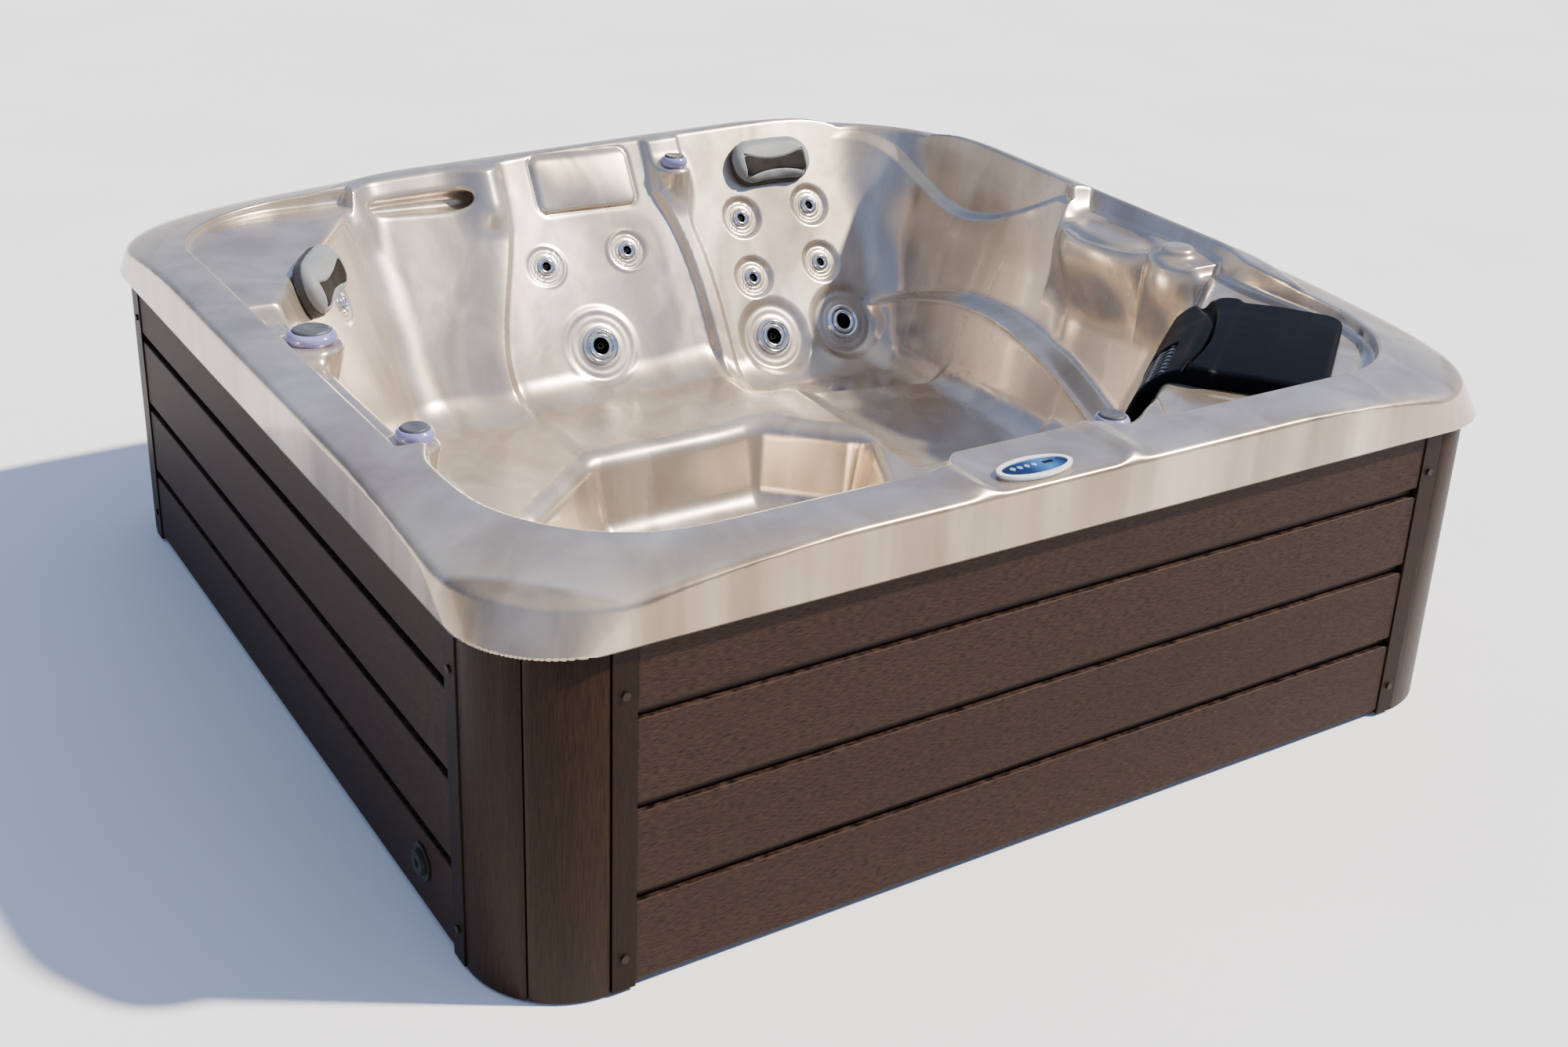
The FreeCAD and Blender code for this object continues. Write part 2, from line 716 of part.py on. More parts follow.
def well_drills(prefix, slack):
    """Bores for the suction fitting and the floor drain."""
    point, turn = suction_place()
    bore = doc.addObject("Part::Cylinder", prefix + "_suction_bore")
    bind(bore, Radius="suction_stem + " + slack, Height="90")
    bore.Placement = Placement(point + turn.multVec(Vector(0, 0, -80)), turn)
    drain_bore = cylinder(prefix + "_floor_bore", "floor_drain_stem + " + slack, "60",
                          ("floor_drain_x", "floor_drain_y", "well_floor - 50"))
    return [bore, drain_bore]


def well_fittings():
    """Suction cover on the footwell wall and the strainer in its floor."""
    point, turn = suction_place()
    cover = turned("suction_body", [("0", "-70"), ("suction_stem", "-70"), ("suction_stem", "1.5"),
                                    ("suction_face", "1.5"), ("suction_face", "6"), ("30", "14"), ("0", "16")],
                   ("0", "0", "0"))
    for path in ("Placement.Base.x", "Placement.Base.y", "Placement.Base.z"):
        cover.setExpression(path, None)
    cover.Placement = Placement(point, turn)
    strainer = turned("floor_drain_body",
                      [("0", "-26"), ("floor_drain_stem", "-26"), ("floor_drain_stem", "0.3"),
                       ("32", "0.3"), ("30", "4"), ("0", "5")],
                      ("floor_drain_x", "floor_drain_y", "well_floor"))
    node(group("well_fittings_group", [cover, strainer]), "well_fittings")


def sector(name, index):
    """A quarter of the plan, centred on +X, +Y, -X or -Y."""
    item = doc.addObject("Part::Box", name)
    bind(item, Length="3 * lip_half", Width="3 * lip_half", Height="1000")
    item.Placement = Placement(Vector(0, 0, -100), Rotation(Vector(0, 0, 1), 90 * index - 45))
    return item


def backing():
    """The rim core and the foam that back the acrylic skin all over."""
    thick = "skin + foam"
    skins = fuse("skin_space", [basin_with_corners("skin_basin", "skin", "rim_top"),
                                deck_solid("skin_deck", "skin"), well_solid("skin_well", "skin")]
                 + [item for key in BOSSES for item in boss_outer(key)])
    drills = wall_drills("foam_drill", "large_barrel + 9", "small_barrel + 7", "300")
    drills += well_drills("foam", "4")
    drills.append(oval("control_clear", "control_long / 2 - 5", "control_short / 2 - 5", "rim_top - 34", "40"))
    clear = fuse("foam_clear", drills)
    inside = fuse("under_lip", [lip_solid("foam_lip", "skin", "rim_top - skin"),
                                box("under_lip_box", ("-frame_half", "-frame_half", "tray_floor"),
                                    ("frame_half", "frame_half", "lip_bottom"))])
    walls = cut("foam_walls_solid",
                common("foam_inside", basin_with_corners("foam_basin", thick, "rim_top - skin"), inside), skins)
    above = box("above_seats", ("-lip_half", "-lip_half", "seat_level - skin"),
                ("lip_half", "lip_half", "rim_top"))
    below = box("below_seats", ("-lip_half", "-lip_half", "-50"),
                ("lip_half", "lip_half", "seat_level - skin"))
    wall_foam = cut("wall_foam", common("wall_foam_high", walls, above), clear)
    for index, side in enumerate(("right", "back", "left", "front")):
        piece = common("wall_foam_%s" % side, wall_foam, sector("%s_sector" % side, index))
        node(piece, "foam_wall_%s" % side)
    seats = cut("seat_foam", common("seat_foam_low", walls, below),
                well_solid("seat_foam_well", thick))
    seats = cut("seat_foam_clear", seats, clear)
    quarters = [common("seat_foam_quarter", seats, sector("seat_sector", index)) for index in range(4)]
    node(group("seat_foam_group", quarters), "seat_supports")
    pit = cut("well_foam", cut("well_foam_solid", well_solid("well_foam_out", thick), skins), clear)
    low = box("well_foam_low", ("-lip_half", "-lip_half", "tray_floor"),
              ("lip_half", "lip_half", "seat_level - skin"))
    node(common("well_foam_cropped", pit, low), "footwell_support")
    core = cut("rim_core", lip_solid("core_lip", "skin", "rim_top - skin"),
               fuse("core_space", [basin_with_corners("core_basin", thick, "rim_top + 20"), skins]))
    core = cut("rim_core_clear", core, clear)
    core_quarters = [common("rim_core_quarter", core, sector("rim_sector", index)) for index in range(4)]
    node(group("rim_core_group", core_quarters + boss_cores()), "rim_support")


def boss_cores():
    """The filling under each knob boss, with room for the valve that hangs in it."""
    cores = []
    for key, (east, north, top, radius) in BOSSES.items():
        core = fuse(key + "_core", boss_inner(key))
        if key != "plain":
            bore = cylinder(key + "_valve_space", VALVE_BARRELS[key] + " + 1", "valve_length + 2",
                            (str(east), str(north), "%d - valve_length - 2" % top))
            core = cut(key + "_core_bored", core, bore)
        cores.append(core)
    return cores


# ---------------------------------------------------------------- control panel
def control_hole():
    """The oval opening in the lip for the control panel's body."""
    return oval("control_hole", "control_long / 2 - 5", "control_short / 2 - 5", "rim_top - 30", "40")


def oval(name, half_long, half_short, level, height):
    """An upright elliptical block at the control panel's place."""
    ellipse = doc.addObject("Part::Ellipse", name + "_curve")
    bind(ellipse, MajorRadius=half_long, MinorRadius=half_short)
    item = doc.addObject("Part::Extrusion", name)
    item.Base = ellipse
    item.DirMode = "Custom"
    item.Dir = Vector(0, 0, 1)
    item.Solid = True
    bind(item, LengthFwd=height)
    return place(item, ("control_x", "control_y", level))


def control_panel():
    """Oval bezel, face plate and four sprung buttons."""
    rim = cut("bezel_ring", oval("bezel", "control_long / 2", "control_short / 2", "rim_top", "5"),
              oval("bezel_opening", "control_long / 2 - 9", "control_short / 2 - 9", "rim_top - 1", "9"))
    body = cut("bezel_body_ring",
               oval("bezel_body", "control_long / 2 - 6", "control_short / 2 - 6", "rim_top - 24", "24"),
               oval("bezel_body_hollow", "control_long / 2 - 9", "control_short / 2 - 9", "rim_top - 21", "30"))
    node(fuse("control_bezel_shape", [rim, body]), "control_bezel")
    face = oval("face", "control_long / 2 - 9.2", "control_short / 2 - 9.2", "rim_top - 2", "5")
    holes, buttons = [], []
    for index in range(4):
        east = "control_x - 42 + %d * button_pitch" % index
        row = "control_y + 6"
        holes.append(cylinder("button_hole", "button_radius + 0.3", "12", (east, row, "rim_top - 5")))
        buttons.append(cylinder("button", "button_radius", "5.5", (east, row, "rim_top - 1.5")))
    window = box("display_window", ("control_x + 22", "control_y + 2", "rim_top + 2.2"),
                 ("control_x + 42", "control_y + 10", "rim_top + 8"))
    node(cut("control_face_shape", face, group("face_openings", holes + [window])), "control_face")
    for index, button in enumerate(buttons, start=1):
        node(button, "button_%d" % index)


# ---------------------------------------------------------------- knobs and valves
KNOBS = {"diverter": "diverter_knob", "air_left": "air_knob_left", "air_back": "air_knob_back",
         "air_front": "air_knob_front"}


def knobs():
    """Each knob turns on a valve that hangs in its boss."""
    valves = []
    for key, label in KNOBS.items():
        east, north, top, boss = BOSSES[key]
        radius = "diverter_radius" if key == "diverter" else "air_radius"
        profile = [("0", "-18"), ("6", "-18"), ("6", "0.4"), (radius + " * 0.92", "0.4"), (radius, "6"),
                   (radius, "14"), (radius + " * 0.86", "knob_height - 8"),
                   (radius + " * 0.82", "knob_height"), ("0", "knob_height")]
        node(turned(label + "_body", profile, (str(east), str(north), str(top))), label)
        barrel = VALVE_BARRELS[key]
        sleeve = [("6.05", "0"), ("8.9", "0"), ("8.9", "-6"), (barrel, "-6.2"), (barrel, "-valve_length"),
                  ("0", "-valve_length"), ("0", "-22"), ("6.05", "-22")]
        valves.append(turned(label + "_valve", sleeve, (str(east), str(north), str(top))))
    node(group("valves_group", valves), "valve_bodies")


# ---------------------------------------------------------------- jets
def jets():
    """Turning faces, chrome rings, nozzles and the bodies behind the wall."""
    bodies, rings, nozzles = [], [], []
    for name, size, base, turn in jet_places():
        if size == "large":
            face = [("0", "-34"), ("9", "-34"), ("9", "-14"), ("20", "-10"), ("28", "-30"),
                    ("31", "-30"), ("31", "0.5"), ("large_face", "0.5"), ("large_face", "3"),
                    ("40", "9"), ("30", "6"), ("26", "0"), ("12", "-6"), ("0", "-6")]
            node(turned("large_face_" + name, face, base, turn), "large_jet_" + name)
            cup = [("0", "-92"), ("large_barrel", "-92"), ("large_barrel", "-0.5"), ("31.3", "-0.5"),
                   ("31.3", "-36"), ("28", "-36"), ("28", "-86"), ("0", "-86")]
            bodies.append(turned("large_body_" + name, cup, base, turn))
            continue
        ring = [("13", "0"), ("small_face", "0"), ("small_face", "2"), ("20", "6"), ("15", "4"),
                ("13", "2")]
        rings.append(turned("small_ring_" + name, ring, base, turn))
        nozzle = [("0", "-24"), ("6", "-24"), ("6", "-8"), ("12.5", "-4"), ("12.5", "1"), ("9", "3"),
                  ("6", "-3"), ("0", "-3")]
        nozzles.append(turned("small_nozzle_" + name, nozzle, base, turn))
        cup = [("0", "-66"), ("small_barrel", "-66"), ("small_barrel", "-0.4"), ("12.8", "-0.4"),
               ("12.8", "-26"), ("10", "-26"), ("10", "-60"), ("0", "-60")]
        bodies.append(turned("small_body_" + name, cup, base, turn))
    node(group("small_rings_group", rings), "small_jet_rings")
    node(group("small_nozzles_group", nozzles), "small_jet_nozzles")
    node(group("bodies_group", bodies), "jet_bodies")


# ---------------------------------------------------------------- pillows
# the pocket in a pillow's face as shares of its length and height, its depth, and the insert's clearance
POCKET_LONG, POCKET_TALL, POCKET_DEPTH, INSERT_GAP = 0.6, 0.5, 9.0, 0.3
INSERT_THICK = 8
PILLOW_LIFT = 1.0


def pillow(label, base, turn):
    """A headrest and the insert in its face; local +Z points away from the wall."""
    depth = value("pillow_depth")
    long_half = value("pillow_length") / 2
    tall_half = value("pillow_height") / 2
    block = doc.addObject("Part::Box", label + "_block")
    bind(block, Length="pillow_length", Width="pillow_height", Height="pillow_depth")
    pocket = doc.addObject("Part::Box", label + "_pocket")
    bind(pocket, Length="pillow_length * %s" % POCKET_LONG, Width="pillow_height * %s" % POCKET_TALL,
         Height="%s + 3" % POCKET_DEPTH)
    insert = doc.addObject("Part::Box", label + "_insert_block")
    bind(insert, Length="pillow_length * %s - 2 * %s" % (POCKET_LONG, INSERT_GAP),
         Width="pillow_height * %s - 2 * %s" % (POCKET_TALL, INSERT_GAP), Height=str(INSERT_THICK))
    doc.recompute()
    soft = rounded(label + "_soft", block, [(lambda edge: True, "pillow_round")])
    shape = cut(label + "_cushion", soft, pocket)
    block.Placement = Placement(Vector(-long_half, -tall_half, 0), Rotation())
    low = Vector(-long_half * POCKET_LONG, -tall_half * POCKET_TALL, depth - POCKET_DEPTH)
    pocket.Placement = Placement(low, Rotation())
    insert_shift = low + Vector(INSERT_GAP, INSERT_GAP, INSERT_GAP)
    origin = base + turn.multVec(Vector(0, 0, PILLOW_LIFT))
    shape.Placement = Placement(origin, turn)
    insert.Placement = Placement(origin + turn.multVec(insert_shift), turn)
    node(shape, label)
    node(insert, label + "_insert")


# middles of the pillows: x and z on the back wall, a point near the corner wall, y and z on the left wall
BACK_PILLOW = (614, 704)
CORNER_PILLOW = (-790, 562, 688)
LEFT_PILLOW = (-640, 660)


def pillows():
    """Two pillows at the back corners and one on the front left wall."""
    east, height = BACK_PILLOW
    pillow("pillow_back_right", Vector(east, value(back_wall_y(height)), height), wall_turn())
    corner = corner_turn().multiply(Rotation(Vector(0, 0, 1), 90))
    pillow("pillow_back_left", corner_wall_point("pillow_corner", CORNER_PILLOW), corner)
    left = Rotation(Vector(0, 1, 0), 90 - math.degrees(math.atan(value("left_slope"))))
    left = left.multiply(Rotation(Vector(0, 0, 1), 90))
    north, height = LEFT_PILLOW
    wall_x = value("left_top") + (value("wall_datum") - height) * value("left_slope")
    pillow("pillow_front_left", Vector(wall_x, north, height), left)


# ---------------------------------------------------------------- neck collar
# the band against the corner wall and the grille let into it, as spans out from the wall, along it and up it
BAND = {"out": (1, 31), "along": (-228, 228), "up": (-110, -8)}
GRILLE = {"out": (22, 40), "along": (36, 210), "up": (-102, -20)}
GRILLE_GAP = 0.5
PORT_COLUMNS, PORT_ROWS = 8, 3
PORT_WIDE, PORT_TALL, PORT_FLOOR = 13, 18, 3


def wall_box(name, out, along, up):
    """A box against the collar's corner wall; local X points out of the wall and Z up it."""
    (east, north), angle, recline = CORNER_WALLS["collar_corner"]
    turn = Rotation(Vector(0, 0, 1), angle).multiply(Rotation(Vector(0, 1, 0), -recline))
    item = doc.addObject("Part::Box", name)
    bind(item, Length=str(out[1] - out[0]), Width=str(along[1] - along[0]), Height=str(up[1] - up[0]))
    corner = Vector(east, north, value("wall_datum")) + turn.multVec(Vector(out[0], along[0], up[0]))
    item.Placement = Placement(corner, turn)
    return item


def neck_collar():
    """The bolster in the front right corner: a pad on the deck, a band down the wall and its grid of ports."""
    half_long = "collar_length / 2"
    half_deep = "collar_depth / 2"
    body = collar_box("collar_block", ("-(%s)" % half_long, "-(%s)" % half_deep, "corner_deck_level + 0.5"),
                      (half_long, half_deep + " - 12", "rim_top + 4"))
    doc.recompute()
    front = collar_box("collar_front", ("-(%s) + 4" % half_long, half_deep + " - 70", "corner_deck_level + 0.5"),
                       (half_long + " - 4", half_deep + " + 4", "rim_top - 8"))
    band = wall_box("collar_band", BAND["out"], BAND["along"], BAND["up"])
    slot = wall_box("collar_slot", GRILLE["out"], GRILLE["along"], GRILLE["up"])
    housing = cut("collar_shape", fuse("collar_joined", [body, front, band]), slot)
    node(housing, "neck_collar")
    start, end = (GRILLE["along"][0] + GRILLE_GAP, GRILLE["along"][1] - GRILLE_GAP)
    low, high = (GRILLE["up"][0] + GRILLE_GAP, GRILLE["up"][1] - GRILLE_GAP)
    back = GRILLE["out"][0] + GRILLE_GAP
    plate = wall_box("grille_plate", (back, BAND["out"][1]), (start, end), (low, high))
    ports = []
    for column in range(PORT_COLUMNS):
        for row in range(PORT_ROWS):
            middle = start + (end - start) * (column + 0.5) / PORT_COLUMNS
            level = low + (high - low) * (row + 0.5) / PORT_ROWS
            ports.append(wall_box("port", (back + PORT_FLOOR, BAND["out"][1] + 5),
                                  (middle - PORT_WIDE / 2, middle + PORT_WIDE / 2),
                                  (level - PORT_TALL / 2, level + PORT_TALL / 2)))
    node(cut("grille_shape", plate, group("ports_group", ports)), "collar_grille")


# ---------------------------------------------------------------- equipment
def equipment():
    """Pump, motor, heater, controls, ozonator, filter and water lines in the front bay."""
    mid_y, mid_z = "equipment_y", "equipment_z"
    motor = cylinder("motor_can", "motor_radius", "motor_length", ("120", mid_y, mid_z), "+X")
    feet = box("motor_feet", ("160", mid_y + " - 60", "tray_floor"), ("320", mid_y + " + 60", mid_z + " - 60"))
    node(fuse("motor_shape", [motor, feet]), "pump_motor")
    volute = cylinder("volute", "motor_radius + 4", "70", ("49.5", mid_y, mid_z), "+X")
    inlet = cylinder("pump_inlet", "27", "60", ("-10", mid_y, mid_z), "+X")
    outlet = cylinder("pump_outlet", "25", "60", ("84", mid_y, mid_z + " + 70"), "+Z")
    node(fuse("pump_shape", [volute, inlet, outlet]), "pump_wet_end")
    node(cylinder("heater_tube", "32", "330", ("-430", mid_y, mid_z), "+X"), "heater")
    node(box("control_case", ("500", "-1020", "60"), ("760", "-900", "330")), "control_box")
    node(box("ozone_case", ("480", "-880", "60"), ("600", "-820", "190")), "ozonator")
    can = cut("filter_can_shape", cylinder("filter_can", "84", "300", ("-620", "-900", "40")),
              cylinder("filter_bore", "78", "290", ("-620", "-900", "46")))
    node(can, "filter_housing")
    node(cut("cartridge_shape", cylinder("cartridge_media", "74", "260", ("-620", "-900", "50")),
             cylinder("cartridge_bore", "26", "280", ("-620", "-900", "45"))), "filter_cartridge")
    manifold = cylinder("manifold", "manifold_radius", "1340", ("-430", "manifold_y", "manifold_z"), "+X")
    lines = [cylinder("suction_line", "25", "85", ("-97", mid_y, mid_z), "+X"),
             cylinder("filter_line", "25", "98", ("-532", mid_y, mid_z), "+X"), manifold]
    node(group("water_lines_group", lines), "water_lines")
    hoses(manifold)


# gap between a jet's tail and the end of its hose
HOSE_GAP = 12


def hoses(manifold):
    """A hose from the tail of each jet down to the manifold behind the seats."""
    tubes = []
    for name, size, base, turn in jet_places():
        tail = LARGE_JET_DEPTH if size == "large" else SMALL_JET_DEPTH
        start = Vector(*[value(part) for part in base]) + turn.multVec(Vector(0, 0, -tail - HOSE_GAP))
        finish = Vector(max(start.x, -410), value("manifold_y"), value("manifold_z"))
        run = finish - start
        tube = doc.addObject("Part::Cylinder", "hose_" + name)
        bind(tube, Radius="hose_radius")
        tube.Height = run.Length
        tube.Placement = Placement(start, Rotation(Vector(0, 0, 1), run))
        tubes.append(tube)
    node(cut("hoses_trimmed", group("hoses_group", tubes), manifold), "jet_hoses")


# ---------------------------------------------------------------- drain and cable gland
def drain():
    """A drain valve through the left panel with its screw cap, and the cable gland on the right."""
    face = "-cabinet_half"
    body = turned("drain_valve_body",
                  [("14", "-40"), ("drain_radius - 9", "-40"), ("drain_radius - 9", "0.3"),
                   ("drain_radius", "0.3"), ("drain_radius", "4"), ("14", "4")],
                  (face, "drain_y", "drain_z"), AXIS_TURNS["-X"])
    node(body, "drain_valve")
    cap = turned("drain_cap_body",
                 [("0", "-12"), ("13.9", "-12"), ("13.9", "4.3"), ("drain_radius - 10", "4.3"),
                  ("drain_radius - 12", "12"), ("8", "12"), ("8", "6"), ("0", "6")],
                 (face, "drain_y", "drain_z"), AXIS_TURNS["-X"])
    node(cap, "drain_cap")
    gland = turned("gland_body", [("gland_bore", "-30"), ("18", "-30"), ("18", "0.3"), ("drain_radius", "0.3"),
                                  ("drain_radius", "5"), ("16", "8"), ("13", "18"), ("gland_bore", "18")],
                   ("cabinet_half", "drain_y", "drain_z"), AXIS_TURNS["+X"])
    node(gland, "power_gland")


# ---------------------------------------------------------------- build and write
def check_model():
    """Stop if any object failed or any sub-part is empty or broken."""
    for item in doc.Objects:
        state = set(item.State)
        if state & {"Invalid", "Error"}:
            raise RuntimeError("%s (%s) failed: %s" % (item.Name, item.Label, item.State))
    for item in nodes:
        shape = item.Shape
        if shape.isNull() or not shape.isValid() or not shape.Solids:
            raise RuntimeError("bad shape: " + item.Label)


def main():
    """Build every sub-part, check it and write it."""
    base_tray()
    frame()
    cabinet()
    tub_shell()
    backing()
    well_fittings()
    control_panel()
    knobs()
    jets()
    pillows()
    neck_collar()
    equipment()
    drain()
    doc.recompute()
    check_model()
    os.makedirs("parts", exist_ok=True)
    for item in nodes:
        item.Shape.exportStep("parts/%s.step" % item.Label)
        size = item.Shape.BoundBox
        print("%-22s solids %3d  volume %12.0f  x %7.1f %7.1f  y %7.1f %7.1f  z %6.1f %6.1f" % (
            item.Label, len(item.Shape.Solids), item.Shape.Volume,
            size.XMin, size.XMax, size.YMin, size.YMax, size.ZMin, size.ZMax))


main()
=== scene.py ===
import bpy
import json
import math
import numpy as np
from mathutils import Matrix, Vector
from mathutils.bvhtree import BVHTree


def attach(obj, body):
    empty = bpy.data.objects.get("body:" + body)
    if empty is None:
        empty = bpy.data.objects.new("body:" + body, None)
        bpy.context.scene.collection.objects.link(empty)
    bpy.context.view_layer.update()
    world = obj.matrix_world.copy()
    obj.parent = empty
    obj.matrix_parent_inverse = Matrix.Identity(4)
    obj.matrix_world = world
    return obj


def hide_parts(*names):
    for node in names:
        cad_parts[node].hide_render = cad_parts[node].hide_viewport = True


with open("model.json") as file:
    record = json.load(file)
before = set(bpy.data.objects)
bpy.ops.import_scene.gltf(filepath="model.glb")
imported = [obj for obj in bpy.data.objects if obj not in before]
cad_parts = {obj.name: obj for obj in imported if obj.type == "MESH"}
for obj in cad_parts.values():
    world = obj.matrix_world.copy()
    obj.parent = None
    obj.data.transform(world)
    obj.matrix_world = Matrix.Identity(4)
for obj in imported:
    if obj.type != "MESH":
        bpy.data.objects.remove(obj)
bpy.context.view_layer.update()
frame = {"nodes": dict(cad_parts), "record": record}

MM = 0.001
CORNERS = [(i, j, k) for i in (0, 1) for j in (0, 1) for k in (0, 1)]   # of a grid cell

# ---- distance-field helpers (mm)
def smooth_min(a, b, k):
    h = np.clip(0.5 + 0.5 * (b - a) / k, 0, 1)
    return b + (a - b) * h - k * h * (1 - h)


def smooth_max(a, b, k):
    return -smooth_min(-a, -b, k)


def round_max(a, b, r):
    """Intersection whose concave corner has a true radius."""
    return np.minimum(-r, np.maximum(a, b)) + np.hypot(np.maximum(a + r, 0), np.maximum(b + r, 0))


def step(t):
    """0 below -1, 1 above 1, smooth between."""
    t = np.clip(t * 0.5 + 0.5, 0, 1)
    return t * t * (3 - 2 * t)


def run(t, low, high, ease, ease_out=None):
    """1 from low to high, with eased ends."""
    return step((t - low) / ease) * step((high - t) / (ease_out or ease))


def bump_at(distance, width):
    """1 at zero distance, falling away over the width."""
    return np.exp(-(distance / width) ** 2)


def round_square(x, y, half_x, half_y, radius):
    qx = np.abs(x) - half_x + radius
    qy = np.abs(y) - half_y + radius
    return np.hypot(np.maximum(qx, 0), np.maximum(qy, 0)) + np.minimum(np.maximum(qx, qy), 0) - radius


def curve_through(points):
    """A polynomial that passes through (where, value) pairs."""
    where = [p[0] for p in points]
    return np.poly1d(np.polyfit(where, [p[1] for p in points], len(points) - 1)), min(where), max(where)


def follow(curve, t):
    poly, low, high = curve
    return poly(np.clip(t, low, high))


def leaning(distance, slope):
    return distance / np.sqrt(1 + slope * slope)


def polygon(x, y, corners):
    """Signed distance to a closed polygon, negative inside."""
    best = np.full_like(x, 1e9)
    inside = np.zeros(x.shape, bool)
    for (ax, ay), (bx, by) in zip(corners, corners[1:] + corners[:1]):
        ex, ey = bx - ax, by - ay
        wx, wy = x - ax, y - ay
        t = np.clip((wx * ex + wy * ey) / (ex * ex + ey * ey), 0, 1)
        best = np.minimum(best, np.hypot(wx - ex * t, wy - ey * t))
        if ey:
            inside ^= ((ay > y) != (by > y)) & (x < ax + ex * (y - ay) / ey)
    return np.where(inside, -best, best)


def capsule(x, y, z, a, b, ra, rb):
    ax, ay, az = a
    e = (b[0] - ax, b[1] - ay, b[2] - az)
    wx, wy, wz = x - ax, y - ay, z - az
    t = np.clip((wx * e[0] + wy * e[1] + wz * e[2]) / (e[0] ** 2 + e[1] ** 2 + e[2] ** 2), 0, 1)
    return np.sqrt((wx - e[0] * t) ** 2 + (wy - e[1] * t) ** 2 + (wz - e[2] * t) ** 2) - (ra + (rb - ra) * t)


# ---- the moulded shell
LIP_BOTTOM, RIM, LIP_HALF = 636.0, 750.0, 1100   # the lip's heights and half the tub's side
WALL_TOP = 740                                   # the height at which the walls' places are given
SEAT, WELL_FLOOR = 238, 46
OVER_RIM, CORNER_DECK, LEFT_DECK, RIGHT_DECK, COLLAR_DECK = 870, 726, 714, 734, 714
COLLAR_AT, COLLAR_ANGLE, COLLAR_RECLINE = (712, -760), 38.4, 20
COLLAR_ALONG = (math.cos(math.radians(COLLAR_ANGLE)), math.sin(math.radians(COLLAR_ANGLE)))
LEFT_RIB = curve_through([(188, -212), (316, -262), (448, -239), (628, -174)])
RIGHT_RIB = curve_through([(215, 325), (341, 322), (485, 314), (671, 261)])
LEDGE_S = curve_through([(216, 752), (357, 679), (528, 625), (756, 662), (998, 752)])
ARM_ARC = curve_through([(-420, 238), (-160, 344), (114, 430), (407, 442), (623, 388), (843, 301)])
# the footwell's outline, drawn in from its edge by WELL_ROUND: growing it back rounds the corners
WELL_CORE = [(-190, 275), (192, 275), (334, 136), (232, -90), (205, -528), (-395, -530), (-395, 98)]
WELL_ROUND, WELL_SLOPE = 75, 0.24
LEFT_AT, RIGHT_AT, FRONT_AT, BACK_AT = -1000.0, 1000.0, -975.0, 985.0
BACK_LEAN, RIGHT_LEAN, LEFT_LEAN, FRONT_LEAN = 0.6, 0.27, 0.36, 0.55

# bosses under the knobs: x, y, top, radius
BOSSES = [(-938, 112, 722, 68), (-945, -428, 722, 50), (316, 936, 732, 48), (190, -914, 712, 48),
          (984, -232, 758, 44)]
# jets on the back wall: x, z
LARGE = [(8, 347), (505, 302), (728, 308)]
SMALL = [(-86, 536), (144, 546), (496, 582), (712, 590), (488, 442), (704, 454)]
LARGE_DISH, SMALL_DISH = 46, 25
WELL_RINGS = [(20, 150, 34), (-130, 110, 24)]    # y, z, radius
PILLOW_CORNER = ((-730, 690), -32.2, 22)         # place, facing and recline of the back left corner
CORNER_JET = (-700, 655, 598)
PLATE = (-72, -1016, 146, 84, 46)                # the keypad's plate: centre, half sizes, corner radius


def back_frame(x, z):
    """Point on the back wall and its inward normal."""
    n = np.array([0, -1, BACK_LEAN]) / math.sqrt(1 + BACK_LEAN ** 2)
    return np.array([x, BACK_AT - (WALL_TOP - z) * BACK_LEAN, z]), n


def corner_frame(near):
    """Point on the back left corner's diagonal wall and its inward normal."""
    (east, north), angle, recline = PILLOW_CORNER
    a, r = math.radians(angle), math.radians(recline)
    inward = np.array([math.cos(a), math.sin(a), 0])
    point = np.array(near, float)
    away = (point - (east, north, WALL_TOP)).dot(inward)
    point += inward * ((WALL_TOP - point[2]) * math.tan(r) - away)
    return point, np.array([math.cos(a) * math.cos(r), math.sin(a) * math.cos(r), math.sin(r)])


def collar_frame(x, y):
    """Distances along and across the neck collar."""
    dx, dy = x - COLLAR_AT[0], y - COLLAR_AT[1]
    return dx * COLLAR_ALONG[0] + dy * COLLAR_ALONG[1], dy * COLLAR_ALONG[0] - dx * COLLAR_ALONG[1]


def lip_block(x, y, z):
    """The rolled lip: its corners open out towards the top and its faces end in a soft crease."""
    h = np.clip(z, LIP_BOTTOM, RIM + 6)
    rise = np.maximum(0, (h - 700) / 41)
    far = step((x + y - 900) / 500) * step((np.minimum(x, y) - 200) / 500)
    radius = 185 + 1.33 * (h - LIP_BOTTOM) + (290 - 260 * far) * rise ** 2
    side = round_square(x, y, LIP_HALF, LIP_HALF, radius)
    steep = 0.414 * (1.33 + 580 / 41 * rise)
    corner = np.clip((np.minimum(np.abs(x), np.abs(y)) - LIP_HALF + radius) / radius, 0, 1)
    side = side / np.sqrt(1 + (steep * corner) ** 2)
    inset = np.maximum(0, -round_square(x, y, LIP_HALF, LIP_HALF, 560))
    plate = round_square(x - PLATE[0], y - PLATE[1], *PLATE[2:])
    ridge = 8 * bump_at(plate - 20, 24) * step((y + 1090) / 12)
    lift = 52 * step((x + y - 900) / 1300)
    top = z - (741 + 0.6 * lift + (9 + 0.6 * lift) * (1 - np.exp(-inset / 28)) + ridge)
    return smooth_max(smooth_max(side, top, 11), LIP_BOTTOM - z, 5)


